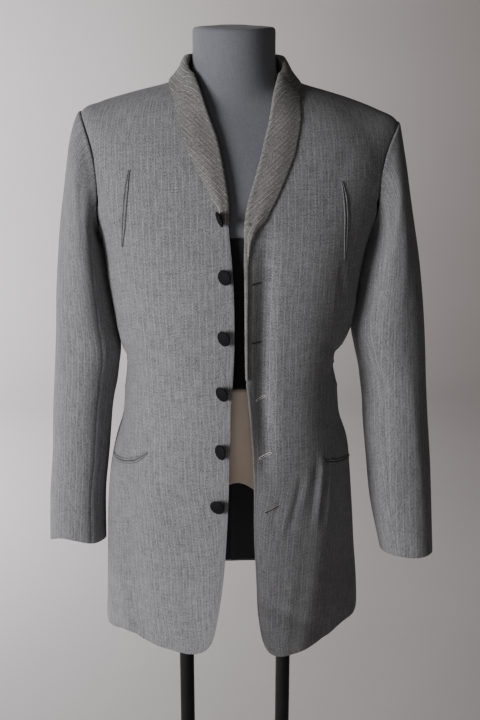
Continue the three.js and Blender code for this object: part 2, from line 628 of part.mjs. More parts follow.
function formPoint(at, turn) {
  const read = (name) => readRow(FORM_ROWS, FORM_COLUMNS, name, at);
  const even = degrees(turn);
  const angle = even - CROWDING * Math.sin(2 * even);
  const ahead = Math.cos(angle) > -1e-9;
  const cos = Math.abs(Math.cos(angle));
  const neckward = smooth((at - 12) / 6);
  const power = 2 / lerp(2.35, 2.0, neckward);
  const high = read('z');
  const far = ahead ? read('zf') : read('zb');
  const place = new THREE.Vector3(
    read('x') * signedPower(Math.sin(angle), power),
    (ahead ? -read('yf') : read('yb')) * cos ** power,
    high + (far - high) * cos ** HEIGHT_BEND,
  );
  const onRidge = smooth((Math.abs(Math.sin(angle)) - 1 + SEAT_NARROW) / SEAT_NARROW);
  const { from, to, fade } = SEAT_ROWS;
  const carried = smooth((at - from) / fade) * smooth((to - at) / fade) * onRidge;
  return carried > 0 ? place.lerp(shoulderSeat(Math.sign(Math.sin(angle)), at), carried) : place;
}

// The ridge of the form's shoulder carries the blazer: it lies just under the shoulder seam.
function shoulderSeat(side, at) {
  const ring = clamp(lerp(18.3, 21, (at - 14) / 3), 17.6, 21.7);
  return bodyPoint(side, ring, 90, -WALL - SEAT_GAP);
}

// The underside arches up between the two leg ends.
function groinHeight(x) {
  const away = clamp(Math.abs(x - GROIN.middle) / GROIN.half, 0, 1);
  return LEG_BOTTOM + (GROIN.top - LEG_BOTTOM) * (1 - away ** 2);
}

// Heights of the hip section squeezed upwards so that its lower edge follows the arch.
function archedHeight(x, z) {
  const low = groinHeight(x);
  return WAIST_LINE - (WAIST_LINE - z) * (WAIST_LINE - low) / (WAIST_LINE - LEG_BOTTOM);
}

// A closed solid between two ring numbers, its ends filled with shrinking rings.
function formSection(fromRing, toRing, steps, endGaps, groin) {
  const ringAt = (at) => range(FORM_SIDES).map((i) => formPoint(at, i * 360 / FORM_SIDES));
  const rings = range(steps + 1).map((i) => ringAt(lerp(fromRing, toRing, i / steps)));
  rings[0].forEach((p) => { p.z += endGaps[0]; });
  rings[steps].forEach((p) => { p.z -= endGaps[1]; });
  const middleOf = (ring) => ring.reduce((m, p) => m.add(p), new THREE.Vector3()).divideScalar(FORM_SIDES);
  const shrunk = (ring, k) => ring.map((p) => middleOf(ring).lerp(p, k));
  if (groin) rings.forEach((ring) => ring.forEach((p) => { p.z = archedHeight(p.x, p.z); }));
  const inward = groin ? [0.25, 0.5, 0.75] : [];
  const under = inward.map((k) => shrunk(rings[0], k));
  if (groin) under.forEach((ring) => ring.forEach((p) => { p.z = groinHeight(p.x); }));
  const all = [...under, ...rings];
  const bottom = middleOf(rings[0]);
  if (groin) bottom.z = GROIN.top;
  const top = middleOf(rings[steps]);
  const positions = [...all.flat(), bottom, top].flatMap((p) => [p.x, p.y, p.z]);
  const count = all.length;
  const at = (r, i) => r * FORM_SIDES + (i % FORM_SIDES);
  const faces = [];
  for (const i of range(FORM_SIDES)) {
    for (const r of range(count - 1)) {
      addFace(faces, at(r, i), at(r, i + 1), at(r + 1, i + 1), at(r + 1, i));
    }
    faces.push(count * FORM_SIDES, at(0, i + 1), at(0, i));
    faces.push(count * FORM_SIDES + 1, at(count - 1, i), at(count - 1, i + 1));
  }
  const geometry = new THREE.BufferGeometry();
  geometry.setAttribute('position', new THREE.Float32BufferAttribute(positions, 3));
  geometry.setIndex(faces);
  geometry.computeVertexNormals();
  return geometry;
}

// ---------- stand ----------
function postGeometry() {
  const foot = BASE_SIZE.thick + 0.3;
  const top = LEG_BOTTOM - 0.3;
  const profile = [[0, foot], [34, foot], [34, foot + 5], [30, foot + 9], [16, foot + 12], [16, foot + 34],
    [POST_RADIUS, foot + 36], [POST_RADIUS, top - 8], [22, top - 5], [22, top], [0, top]];
  const geometry = new THREE.LatheGeometry(profile.map(([x, y]) => new THREE.Vector2(x, y)), 16);
  return geometry.rotateX(Math.PI / 2);
}

function baseGeometry() {
  const { width, depth, thick, corner } = BASE_SIZE;
  const bevel = 1.5;
  const [x, y] = [width / 2 - bevel, depth / 2 - bevel];
  const shape = new THREE.Shape();
  shape.moveTo(corner - x, -y);
  shape.lineTo(x - corner, -y);
  shape.absarc(x - corner, corner - y, corner, -Math.PI / 2, 0);
  shape.lineTo(x, y - corner);
  shape.absarc(x - corner, y - corner, corner, 0, Math.PI / 2);
  shape.lineTo(corner - x, y);
  shape.absarc(corner - x, y - corner, corner, Math.PI / 2, Math.PI);
  shape.lineTo(-x, corner - y);
  shape.absarc(corner - x, corner - y, corner, Math.PI, Math.PI * 1.5);
  const options = { depth: thick - 2 * bevel, bevelSize: bevel, bevelThickness: bevel, bevelSegments: 1,
    curveSegments: 5 };
  return new THREE.ExtrudeGeometry(shape, options).translate(0, 0, bevel);
}

// ---------- materials ----------
const paint = (color, roughness, metalness = 0) => new THREE.MeshStandardMaterial({
  color, roughness, metalness, side: THREE.FrontSide,
});
const WOOL = paint(0x84868a, 0.9);
const COLLAR_WOOL = paint(0x8c8d90, 0.9);
const LIP_WOOL = paint(0x6f7176, 0.9);
const BLACK_LINING = paint(0x16151a, 0.55);
const BUTTON_CLOTH = paint(0x1c1d20, 0.8);
const GREY_JERSEY = paint(0x6c7079, 0.95);
const BLACK_JERSEY = paint(0x131318, 0.8);
const PALE_SHELL = paint(0xcdbba6, 0.5);
const BLACK_STEEL = paint(0x141416, 0.4, 0.7);

// ---------- assembly ----------
const part = new THREE.Group();

function add(name, geometry, material) {
  const mesh = new THREE.Mesh(geometry, material);
  mesh.name = name;
  part.add(mesh);
  return mesh;
}

for (const [side, hand] of [[-1, 'right'], [1, 'left']]) {
  add(`front_${hand}`, bodyPanel(side, true), WOOL);
  add(`back_${hand}`, bodyPanel(side, false), WOOL);
  add(`lining_${hand}`, lining(side), BLACK_LINING);
  add(`sleeve_upper_${hand}`, sleevePanel(side, -SLEEVE_SEAM, SLEEVE_SEAM), WOOL);
  add(`sleeve_under_${hand}`, sleevePanel(side, SLEEVE_SEAM, 360 - SLEEVE_SEAM), WOOL);
  add(`collar_${hand}`, collar(side), COLLAR_WOOL);
  add(`chest_jet_in_${hand}`, pocketLip(side, POCKETS[`chest_${hand}`], 1), LIP_WOOL);
  add(`chest_jet_out_${hand}`, pocketLip(side, POCKETS[`chest_${hand}`], -1), LIP_WOOL);
  add(`hip_jet_top_${hand}`, pocketLip(side, POCKETS[`hip_${hand}`], side), LIP_WOOL);
  add(`hip_jet_low_${hand}`, pocketLip(side, POCKETS[`hip_${hand}`], -side), LIP_WOOL);
  add(`post_${hand}`, postGeometry(), BLACK_STEEL).position.set(side * POST_SPREAD, 0, 0);
}
BUTTON_ROWS.forEach((row, i) => placeButton(add(`button_${i + 1}`, buttonGeometry(), BUTTON_CLOTH), row));
add('form_hip', formSection(0, 4, 8, [0, SEAM_GAP], true), PALE_SHELL);
add('form_waist', formSection(4, 9, 8, [SEAM_GAP, SEAM_GAP], false), BLACK_JERSEY);
add('form_chest', formSection(9, 23, 21, [SEAM_GAP, 0], false), GREY_JERSEY);
add('base_plate', baseGeometry(), BLACK_STEEL);

export default part;
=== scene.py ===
# Looks of a long grey wool blazer with a narrow shawl collar, worn open on a dress form with a stand.
import math
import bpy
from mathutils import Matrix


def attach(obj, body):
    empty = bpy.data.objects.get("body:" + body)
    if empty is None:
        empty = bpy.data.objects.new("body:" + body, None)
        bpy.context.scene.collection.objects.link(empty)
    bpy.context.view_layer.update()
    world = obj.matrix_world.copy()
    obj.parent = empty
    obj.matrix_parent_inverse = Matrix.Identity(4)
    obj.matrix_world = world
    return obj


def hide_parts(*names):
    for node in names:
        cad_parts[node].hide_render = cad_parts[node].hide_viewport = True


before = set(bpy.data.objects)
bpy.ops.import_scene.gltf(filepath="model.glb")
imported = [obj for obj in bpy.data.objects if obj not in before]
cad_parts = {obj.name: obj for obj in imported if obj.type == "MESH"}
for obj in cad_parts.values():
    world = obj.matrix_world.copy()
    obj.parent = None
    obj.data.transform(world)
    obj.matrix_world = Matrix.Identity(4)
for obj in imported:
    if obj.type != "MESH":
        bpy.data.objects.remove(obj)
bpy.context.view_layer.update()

from types import SimpleNamespace

import bpy
import numpy as np
from mathutils import Matrix, Vector

# ---------- sizes: the tailor's tables are in millimetres, the meshes in metres ----------
MM = 0.001
WALL = 1.6                 # cloth with its interlining
COLLAR_WALL = 1.8
LINING_WALL = 1.0
SEAM_GAP = 0.03            # the sewn panels all but touch along their seams
ARMHOLE_GAP = 0.45
UNDERARM_LIFT = 0.4
LAID_GAP = 0.35            # what lies on a panel is this far off it
ARMHOLE_SPREAD = 26        # degrees that the armhole reaches forward and back of the side
BACK_ROUND, NECK_ROUND = 2.5, 2.1   # exponents of the back half, below and at the neck
HEIGHT_BEND = 1.5          # how a ring bends up or down between its side and its middle
PIT, TIP, NECK = 13, 17, 22   # rings at the foot and the top of the armhole and at the neckline
HEM_GIRTH = 1.25           # the front's arc against its half width
CORNER_ACROSS, CORNER_RINGS = 36, 0.6   # how wide and how high the rounded lower corner is
SOFTENING = (1 / 16, 2 / 16, 3 / 16, 4 / 16, 3 / 16, 2 / 16, 1 / 16)
HEAD_REACH = 3.2           # sleeve rings over which the armhole's shape fades out
CUFF_RISE = 13             # the cuff's front edge lies this much higher
SLEEVE_SEAM = 120          # degrees from the outside to the two sleeve seams
HEAD_ROLL = 2.3            # how far the sleeve head stands up beside the armhole seam
SLEEVE_OVAL = 0.92         # exponent of a sleeve's ring, 1 for an ellipse
STRIPE_PITCH = 9.6         # between the pale pinstripes


class Table:
    """Rows of numbers under named columns, read as smooth curves."""

    def __init__(self, columns, rows):
        self.columns = columns.split()
        self.rows = np.array(rows, float)

    def column(self, name):
        return self.rows[:, self.columns.index(name)]

    def at(self, name, where):
        """The column's smooth curve at row numbers."""
        values = self.column(name)
        last = len(values) - 1
        where = np.asarray(where, float)
        i = np.clip(np.floor(where).astype(int), 0, last - 1)
        k = where - i
        before, low, high, after = (values[np.clip(i + d, 0, last)] for d in (-1, 0, 1, 2))
        rise, next_rise = (high - before) / 2, (after - low) / 2
        a = 2 * low - 2 * high + rise + next_rise
        b = 3 * (high - low) - 2 * rise - next_rise
        return low + k * (rise + k * (b + k * a))

    def key(self, name, value):
        """Straight interpolation against the first column."""
        return np.interp(value, self.rows[:, 0], self.column(name))

    def each(self):
        return [dict(zip(self.columns, row)) for row in self.rows]


# One row for each ring of the body, hem to neckline. z: height of the side point, x: half width,
# e: distance of the front edge from the middle, yf and f: depth and height in front, round: exponent
# of the front half, yb and zb: depth and height at the back. R and L are the wearer's sides.
BODY = Table("zR zL xR xL eR eL yf fR fL round yb zb", [
    [652, 664, 209, 202, 48, 40, 156, 658, 646, 1.57, 118, 680],
    [720, 720, 206, 199, 35, 26, 153, 724, 718, 1.74, 118, 735],
    [790, 790, 202, 192, 26, 22, 151, 791, 789, 1.9, 118, 797],
    [860, 860, 198, 186, 21, 19, 148, 860, 860, 2.03, 119, 862],
    [920, 920, 192, 180, 18, 19, 144, 920, 920, 2.12, 115, 920],
    [960, 960, 184, 174, 17, 18, 142, 960, 960, 2.15, 108, 960],
    [1000, 1000, 172, 161, 15, 16, 139, 1000, 1000, 2.18, 99, 1000],
    [1045, 1045, 167, 156, 14, 13, 136, 1045, 1045, 2.2, 91, 1045],
    [1084, 1084, 163, 150, 11, 9, 133, 1084, 1084, 2.2, 88, 1084],
    [1122, 1122, 172, 167, 9, 8, 131, 1122, 1122, 2.25, 91, 1122],
    [1170, 1170, 180, 179, 8, 7.5, 129, 1170, 1170, 2.3, 97, 1170],
    [1215, 1215, 187, 186, 9, 7.5, 127, 1215, 1215, 2.35, 104, 1215],
    [1255, 1255, 191, 193, 11, 7, 124, 1255, 1255, 2.4, 110, 1255],
    [1291, 1287, 198, 202, 14, 8, 122, 1289, 1287, 2.4, 115, 1290],
    [1330, 1325, 211, 218, 16, 10, 118, 1318, 1316, 2.4, 118, 1330],
    [1370, 1362, 222, 231, 18, 16, 110, 1346, 1343, 2.4, 117, 1368],
    [1412, 1400, 225, 238, 22, 25, 101, 1374, 1370, 2.4, 112, 1405],
    [1453, 1437, 216, 235, 27, 34, 90, 1402, 1398, 2.4, 104, 1434],
    [1466, 1455, 188, 204, 32, 40, 80, 1424, 1420, 2.3, 95, 1456],
    [1476, 1470, 155, 166, 39, 46, 72, 1442, 1440, 2.2, 86, 1472],
    [1484, 1481, 126, 130, 46, 50, 66, 1457, 1456, 2.15, 78, 1485],
    [1491, 1489, 99, 101, 53, 55, 60, 1469, 1469, 2.1, 70, 1493],
    [1499, 1498, 76, 77, 61, 62, 56, 1480, 1480, 2.1, 62, 1500],
])

# Rings of a sleeve below the armhole. uo, zo: outermost point, ui, zi: innermost point,
# yc: middle of the depth, b: half depth.
SLEEVES = {
    -1: Table("uo zo ui zi yc b", [
        [221, 1452, 201, 1288, 0, 58], [228, 1444, 203, 1281, 1, 62], [234, 1421, 200, 1269, 2, 66],
        [239, 1390, 196.5, 1254, 3, 68], [246, 1345, 193.5, 1234, 4, 69],
        [253, 1300, 190.5, 1210, 5, 69], [259, 1248, 186.5, 1180, 7, 67], [265, 1188, 181, 1142, 9, 65],
        [269, 1126, 174, 1100, 11, 62], [274, 1060, 179, 1052, 12, 60], [279, 1000, 188, 1000, 12, 58],
        [283, 935, 195, 935, 11, 55], [290, 868, 203, 868, 10, 52], [294, 788, 205, 788, 9, 50],
    ]),
    1: Table("uo zo ui zi yc b", [
        [239, 1437, 205, 1284, 0, 58], [243, 1427, 206, 1277, -1, 62], [246, 1401, 203, 1264, -2, 66],
        [250, 1368, 198.5, 1249, -4, 68], [257, 1328, 194, 1229, -6, 69],
        [264, 1290, 190, 1205, -8, 69], [273, 1240, 185.5, 1176, -11, 67],
        [281, 1182, 179, 1142, -14, 65], [286, 1120, 184, 1100, -18, 62],
        [290, 1056, 193, 1050, -22, 60], [294, 998, 196, 998, -28, 58], [300, 933, 202, 933, -35, 55],
        [304, 862, 210, 862, -43, 52], [308, 780, 227, 780, -52, 50],
    ]),
}

# How far the collar spreads over the front from the front edge, by ring.
SPREAD = Table("ring right left", [
    [8, 3, 1.6], [9, 6, 2.4], [12, 6, 3.6], [13, 6, 8], [13.6, 6, 17], [14, 8, 26], [15, 21, 35],
    [16, 32, 39], [17, 41, 43], [18, 43, 43], [19, 41, 41], [20, 38, 37], [22, 26, 27],
])

# Buttons, top to bottom: distance from the middle, height, tilt from the front's surface and how
# far below level the tilted face looks, in degrees.
BUTTONS = Table("u z tilt drop", [[26, 1317, 80, 22], [20.5, 1239, 40, 14], [22, 1154, 44, 16],
                                  [25, 1074, 44, 22], [27.5, 989, 50, 6], [33.5, 905, 26, 38]])

# Buttonholes on the left front, top to bottom: both ends of each as ring and angle, and how pale
# its stitches have stayed.
BUTTONHOLES = Table("ring0 phi0 ring1 phi1 pale", [
    [11.28, 3.4, 11.33, 6.6, 0], [9.46, 4, 9.46, 8.2, 0], [7.36, 7, 7.48, 11.4, 1],
    [5.37, 8.3, 5.53, 13.9, 1], [3.5, 10.4, 3.66, 17.2, 0.4]])

# Pocket mouths as arcs on the front: both ends and the bow of the middle, as angle and height.
POCKETS = {
    "chest_right": dict(phi0=41.1, z0=1379, phi1=51.7, z1=1275, bow_phi=-1.4, bow_z=1),
    "chest_left": dict(phi0=35.8, z0=1362, phi1=46.2, z1=1253, bow_phi=-0.7, bow_z=8),
    "hip_right": dict(phi0=46.6, z0=972, phi1=82.5, z1=944, bow_phi=-2.7, bow_z=-9),
    "hip_left": dict(phi0=43.7, z0=956, phi1=80, z1=932, bow_phi=-6, bow_z=1),
}

# Large soft folds of the body, the same as the solids have: the two ends of each fold's line as
# ring and angle, its width and its depth, which is outward where it is positive.
FOLDS = Table("side ring0 phi0 ring1 phi1 width depth", [
    [-1, 0, 30, 5.2, 46, 24, 2.5], [-1, 0, 50, 4.6, 62, 24, -4], [-1, 0, 74, 4.2, 80, 24, 3.5],
    [1, 0, 34, 4.8, 46, 24, 3.5], [1, 0, 58, 4.6, 68, 28, -3.5],
    [-1, 8.2, 88, 9.4, 52, 20, -3], [1, 8.1, 88, 9.2, 46, 20, -4], [1, 8.8, 89, 10.8, 60, 22, 3],
    [-1, 0, 120, 4.5, 128, 34, -4], [1, 0, 124, 4.5, 130, 34, -4],
    [-1, 8.2, 96, 9.6, 140, 22, -3], [1, 8.2, 96, 9.6, 142, 22, -3],
    [-1, 13.5, 150, 17, 118, 34, -2.5], [1, 13.5, 150, 17, 118, 34, -2.5],
])

# Fine creases of the body, each drawn one by one, with the same columns.
CREASES = Table("side ring0 phi0 ring1 phi1 width depth", [
    # the hollow beside the rolled left edge
    [1, 5.8, 11, 12.9, 7, 14, -9.8], [1, 5.6, 19, 12.8, 13.5, 32, -3.6],
    # below the chest pockets
    [-1, 12.4, 52, 10.9, 57, 5, 0.9], [-1, 12.2, 55.5, 11.2, 61, 4, -0.8],
    [-1, 12.6, 49, 11.6, 51, 4, -0.6], [-1, 12, 59, 11, 64, 5, 0.7], [1, 11.6, 46, 10.5, 54, 6, -1.3],
    [1, 11.9, 49, 10.9, 56, 5, 0.9], [1, 11.2, 43, 10.1, 47, 5, 0.6],
    # drag lines at the waist
    [-1, 9, 88, 8.5, 62, 7, -1.4], [-1, 8.3, 88, 8, 66, 6, 1.1], [-1, 7.7, 88, 7.8, 60, 8, -1.2],
    [-1, 9.8, 88, 8.9, 70, 6, 0.9], [1, 8.9, 88, 8.4, 64, 7, -1.8], [1, 8.2, 88, 8, 58, 7, 1.4],
    [1, 7.6, 88, 7.8, 62, 8, -1.3], [1, 9.8, 88, 9, 60, 8, 1.2], [1, 6.9, 88, 7.3, 66, 8, 1],
    [-1, 7, 88, 7.3, 70, 8, 0.9], [1, 9.3, 40, 8.8, 22, 9, -0.9], [-1, 9.1, 44, 8.7, 24, 9, -0.7],
    # the long pale ridge under the left hip pocket and the pulls by the lowest button
    [1, 4.9, 43.4, 3.2, 37.6, 5.4, 3.4], [1, 4.8, 46.8, 3.1, 41.2, 6.5, -2.2],
    [1, 4.8, 50.5, 3, 44.4, 5, 1.6], [1, 4.8, 40, 3.3, 34.6, 6, -1.6],
    [1, 4.3, 29, 3, 22, 6, -1.4], [1, 4, 25, 2.9, 19, 5, 1], [1, 4.6, 34, 3.4, 28, 7, 1.1],
    [1, 3.8, 17.5, 3, 13, 4, -0.9], [-1, 4.2, 20, 3, 26, 8, -0.8], [-1, 4.8, 30, 3.6, 36, 8, 0.8],
    # skirt
    [-1, 0, 41, 3, 44, 12, 1], [-1, 0, 60, 2.4, 66, 10, 1.2], [-1, 0, 22, 2.2, 24, 12, -0.8],
    [1, 1.3, 14, 0.3, 46, 16, -2.4], [1, 1.9, 30, 0.9, 66, 14, 1.4], [-1, 0, 84, 3.4, 86, 11, -1.4],
    [1, 0, 46, 2.6, 50, 10, -1.3], [1, 0, 24, 2.6, 26, 12, 1],
    [1, 0, 70, 3.2, 74, 12, 1.6], [1, 0, 84, 3.6, 86, 10, -1.6], [-1, 0, 54.7, 0.9, 56, 6, -1.6],
    # chest, towards the armhole and the collar
    [-1, 14.6, 72, 13.6, 58, 10, -1.2], [1, 14.4, 72, 13.4, 56, 10, -1.5], [1, 15.4, 66, 14.2, 60, 9, 1],
    [-1, 15.6, 64, 14.4, 58, 9, 0.8], [1, 16.6, 40, 15, 30, 14, -1], [-1, 16.8, 40, 15.4, 32, 14, -0.8],
    # back
    [-1, 8.8, 95, 8.4, 128, 7, -1.6], [-1, 8.1, 94, 7.9, 134, 7, 1.2], [-1, 7.5, 95, 7.4, 126, 8, -1.3],
    [-1, 9.6, 96, 9, 150, 9, 1], [1, 8.9, 95, 8.5, 132, 7, -1.6], [1, 8.2, 94, 8, 126, 8, 1.2],
    [1, 7.4, 95, 7.5, 136, 8, -1.2], [1, 9.7, 96, 9.2, 144, 9, 1], [-1, 0, 108, 3.8, 112, 12, 1.8],
    [1, 0, 106, 4, 112, 12, 1.8], [-1, 0, 146, 4.2, 150, 14, 1.6], [1, 0, 142, 3.6, 148, 14, 1.6],
    [-1, 0, 164, 3, 166, 10, -1.2], [1, 0, 160, 2.6, 164, 10, -1], [-1, 14.2, 128, 12.8, 108, 10, -1.6],
    [1, 14, 130, 12.6, 108, 10, -1.6], [-1, 15, 124, 13.6, 112, 9, 1.1], [1, 15.2, 124, 13.8, 112, 9, 1.1],
    [-1, 12.6, 150, 11.2, 140, 12, -0.9], [1, 12.2, 152, 11, 144, 12, -0.9],
])

# Places where a hem or a cuff rides up or hangs low: angle round the piece, spread in degrees, rise.
HEM_RISES = Table("side phi spread rise", [[-1, 60, 7.5, 6.5], [-1, 47, 5, -1], [1, 22, 6, 1],
                                           [1, 100, 14, 1.5]])
CUFF_RISES = Table("side theta spread rise", [[-1, 62, 34, 8], [-1, 125, 24, -3], [1, 82, 42, -5],
                                              [1, 178, 24, 2]])

# Hollows and ridges of both sleeves: ring, angle round from the outside, reach in rings and in
# degrees, slant in degrees for each ring, depth. Then the fine creases of each sleeve.
SLEEVE_FOLDS = Table("ring theta rings spread slant depth", [
    [2.6, 178, 0.9, 40, 0, 2.6], [4.2, 178, 1.4, 42, 0, 3.4], [6.8, 178, 1.5, 42, 0, 4.2],
    [8.6, 150, 0.5, 46, 0, -3], [9.5, 140, 0.5, 50, 0, -3.5], [7.4, 70, 1.6, 20, 0, -2],
    [9, 215, 0.7, 40, 0, 3],
])
SLEEVE_CREASES = Table("side ring theta rings spread slant depth", [
    [-1, 3.2, 200, 1.1, 30, 0, 3.6], [-1, 8.3, 120, 0.16, 42, 3, 1.1],
    [-1, 8.9, 128, 0.2, 40, 4, -1.3], [-1, 9.7, 118, 0.2, 38, -4, 1],
    [-1, 7.6, 132, 0.18, 40, 2, 0.9], [-1, 5, 60, 1.8, 9, 6, 0.9], [-1, 10.6, 52, 1.6, 8, -5, 0.9],
    [-1, 3, 88, 1.2, 10, 6, -1.4], [-1, 2.4, 64, 1, 10, 8, 1], [-1, 12, 84, 1, 10, 4, -0.8],
    [-1, 8.7, 236, 0.2, 30, -4, 1.2], [-1, 9.4, 230, 0.22, 30, 5, -1.2], [-1, 6, 300, 2, 12, 4, 0.9],
    [-1, 11.2, 310, 1.6, 10, -3, -0.8], [-1, 7.2, 20, 1.8, 10, 3, -0.7],
    [1, 8.2, 122, 0.18, 42, 4, 1.3], [1, 8.8, 118, 0.2, 44, -4, -1.5], [1, 9.6, 126, 0.22, 40, 3, 1.2],
    [1, 7.5, 128, 0.18, 36, 3, 1], [1, 5.2, 70, 1.9, 9, 6, 1], [1, 10.4, 66, 1.8, 9, -4, 1.1],
    [1, 2.8, 92, 1.2, 10, 6, -1.5], [1, 2.2, 66, 1, 10, 8, 1], [1, 12.1, 96, 1, 10, 4, -0.9],
    [1, 8.9, 238, 0.2, 30, -4, 1.2], [1, 9.7, 232, 0.22, 32, 5, -1.3], [1, 6.4, 296, 2, 12, 4, 0.9],
    [1, 11, 306, 1.6, 10, -3, -0.8], [1, 7, 16, 1.8, 10, 3, -0.7],
])


# ---------- small helpers ----------
def lerp(a, b, k):
    return a + (b - a) * k


def smooth(k):
    c = np.clip(k, 0, 1)
    return c * c * (3 - 2 * c)


def signed_power(v, p):
    return np.sign(v) * np.abs(v) ** p


def unit(v):
    return v / np.maximum(np.linalg.norm(v, axis=-1, keepdims=True), 1e-12)


def hand(side):
    return "right" if side < 0 else "left"


def arc_along(grid, axis):
    """Distance travelled from the first row (axis 0) or column (axis 1) of a grid of points."""
    steps = np.linalg.norm(np.diff(grid, axis=axis), axis=-1)
    return np.insert(np.cumsum(steps, axis=axis), 0, 0, axis=axis)


# ---------- the body's surface ----------
def own(column, side, ring):
    """A column that each side of the body has for itself, at ring numbers."""
    return BODY.at(column + ("R" if side < 0 else "L"), ring)


def softened(column, side, ring, cos):
    """The same column, evened out over its neighbours away from the side."""
    even = sum(share * own(column, side, np.clip(ring + i - 3, 0, NECK)) for i, share in enumerate(SOFTENING))
    start = lerp(0.3, 0.05, smooth((ring - 11) / 4))
    away = smooth((cos - start) / 0.5) * smooth(ring / 2) * smooth((20 - ring) / 2)
    return lerp(own(column, side, ring), even, away)


def ring_point(side, ring, phi):
    """phi is 0 at the middle of the front, 90 at the side and 180 at the centre back."""
    ring, angle = np.broadcast_arrays(np.asarray(ring, float), np.radians(phi))
    ahead = np.cos(angle) >= 0
    cos = np.abs(np.cos(angle))
    back_round = lerp(BACK_ROUND, NECK_ROUND, smooth((ring - TIP) / (NECK - TIP)))
    power = 2 / np.where(ahead, BODY.at("round", ring), back_round)
    high = softened("z", side, ring, cos)
    far = np.where(ahead, own("f", side, ring), BODY.at("zb", ring))
    depth = np.where(ahead, -BODY.at("yf", ring), BODY.at("yb", ring))
    x = side * softened("x", side, ring, cos) * signed_power(np.sin(angle), power)
    return np.stack([x, depth * cos ** power, high + (far - high) * cos ** HEIGHT_BEND], -1)


def phi_of_u(side, ring, u):
    """Angle of the front's point that lies u away from the middle plane."""
    ring = np.asarray(ring, float)
    angle = np.zeros_like(ring)
    for _ in range(4):
        share = np.clip(u / softened("x", side, ring, np.cos(angle)), 0, 1)
        angle = np.arcsin(share ** (BODY.at("round", ring) / 2))
    return np.degrees(angle)


def front_edge(side, ring, inward=0):
    return phi_of_u(side, ring, own("e", side, ring) + inward)


def fold_height(folds, side, ring, place):
    """How far a table's folds raise points of the body."""
    height = np.zeros(np.shape(ring))
    for fold in folds.each():
        if fold["side"] != side:
            continue
        along = (ring - fold["ring0"]) / (fold["ring1"] - fold["ring0"])
        phi_line = lerp(fold["phi0"], fold["phi1"], np.clip(along, 0, 1))
        across = np.linalg.norm(place - ring_point(side, ring, phi_line), axis=-1)
        opening = 1 if fold["ring0"] == 0 else smooth((along + 0.3) / 0.5)
        ends = opening * smooth((1.3 - along) / 0.7) * (along > -0.3)
        height = height + fold["depth"] * ends * np.exp(-((across / fold["width"]) ** 2))
    return height


def ease(side, place):
    """The slight unevenness of worn cloth, from a few slow waves."""
    x, y, z = np.moveaxis(place, -1, 0)
    long_wave = np.sin(x / 31 + z / 83 + side) * np.sin(y / 37 - z / 117 + 2 * side)
    short_wave = np.sin(x / 17 - z / 41 + 3 * side) * np.sin(y / 23 + z / 59)
    return 0.55 * long_wave + 0.25 * short_wave


def ride(rows, column, side, turn):
    """How far the edge of a piece rides up at an angle."""
    rise = np.zeros(np.shape(turn))
    for row in rows.each():
        if row["side"] == side:
            rise = rise + row["rise"] * np.exp(-(((turn - row[column]) / row["spread"]) ** 2))
    return rise


def body_normal(side, ring, phi):
    """The outward direction of the plain body."""
    around = ring_point(side, ring, phi + 0.6) - ring_point(side, ring, phi - 0.6)
    up = ring_point(side, ring + 0.04, phi) - ring_point(side, ring - 0.04, phi)
    return unit(np.cross(around, up) * side)


def body_point(side, ring, phi, off=0.0, creased=True):
    """A point of the worn cloth's outer face."""
    ring, phi = np.broadcast_arrays(np.asarray(ring, float), np.asarray(phi, float))
    place = ring_point(side, ring, phi)
    rise = fold_height(FOLDS, side, ring, place) + off
    if creased:
        rise = rise + fold_height(CREASES, side, ring, place) + ease(side, place)
        lifted = ride(HEM_RISES, "phi", side, phi) * (1 - smooth(ring / 1.4))
        place = place + np.stack([0 * lifted, 0 * lifted, lifted], -1)
    return place + body_normal(side, ring, phi) * rise[..., None]


def line_on_body(side, ring, phi, off=0.0):
    """Points of a line on the cloth with the normal, the direction along it and the one across it."""
    place, normal = body_point(side, ring, phi, off), body_normal(side, ring, phi)
    along = unit(np.gradient(place, axis=0))
    return place, normal, along, np.cross(normal, along)


def armhole_place(theta, size=1.0):
    """Ring and angle of a point on the armhole, theta degrees round from its top."""
    angle = np.radians(theta)
    ring = lerp(PIT, TIP, (1 + size * np.cos(angle)) / 2)
    return ring, 90 - ARMHOLE_SPREAD * size * np.sin(angle)


def armhole_reach(ring):
    """Degrees from the side to the armhole's edge."""
    k = np.clip((ring - PIT) / (TIP - PIT), 0, 1)
    return ARMHOLE_SPREAD * 2 * np.sqrt(k * (1 - k))


def corner_ring(side, share):
    """The rounded lower corner: the start ring of a column by its distance from the front edge."""
    away = share * own("x", side, 0) * HEM_GIRTH
    k = np.clip(1 - away / CORNER_ACROSS, 0, 1)
    return CORNER_RINGS * (1 - np.sqrt(1 - k * k))


# ---------- meshes ----------
def link(name, mesh):
    piece = bpy.data.objects.new(name, mesh)
    bpy.context.scene.collection.objects.link(piece)
    return piece


def only(piece):
    """Selects this piece alone and makes it active."""
    bpy.ops.object.select_all(action="DESELECT")
    piece.select_set(True)
    bpy.context.view_layer.objects.active = piece


def finish_modifiers(piece):
    only(piece)
    for modifier in list(piece.modifiers):
        bpy.ops.object.modifier_apply(modifier=modifier.name)


def grid_faces(rows, cols, first=0):
    r, c = np.meshgrid(np.arange(rows - 1), np.arange(cols - 1), indexing="ij")
    a = (first + r * cols + c).ravel()
    return np.stack([a, a + 1, a + cols + 1, a + cols], 1)


def rim_faces(rows, cols):
    """Faces that close the gap between the outer grid and the inner one, all the way round."""
    inner = rows * cols
    border = np.concatenate([
        np.arange(cols), np.arange(1, rows) * cols + cols - 1,
        (rows - 1) * cols + np.arange(cols - 2, -1, -1), np.arange(rows - 2, 0, -1) * cols])
    following = np.roll(border, -1)
    return np.stack([border, border + inner, following + inner, following], 1)


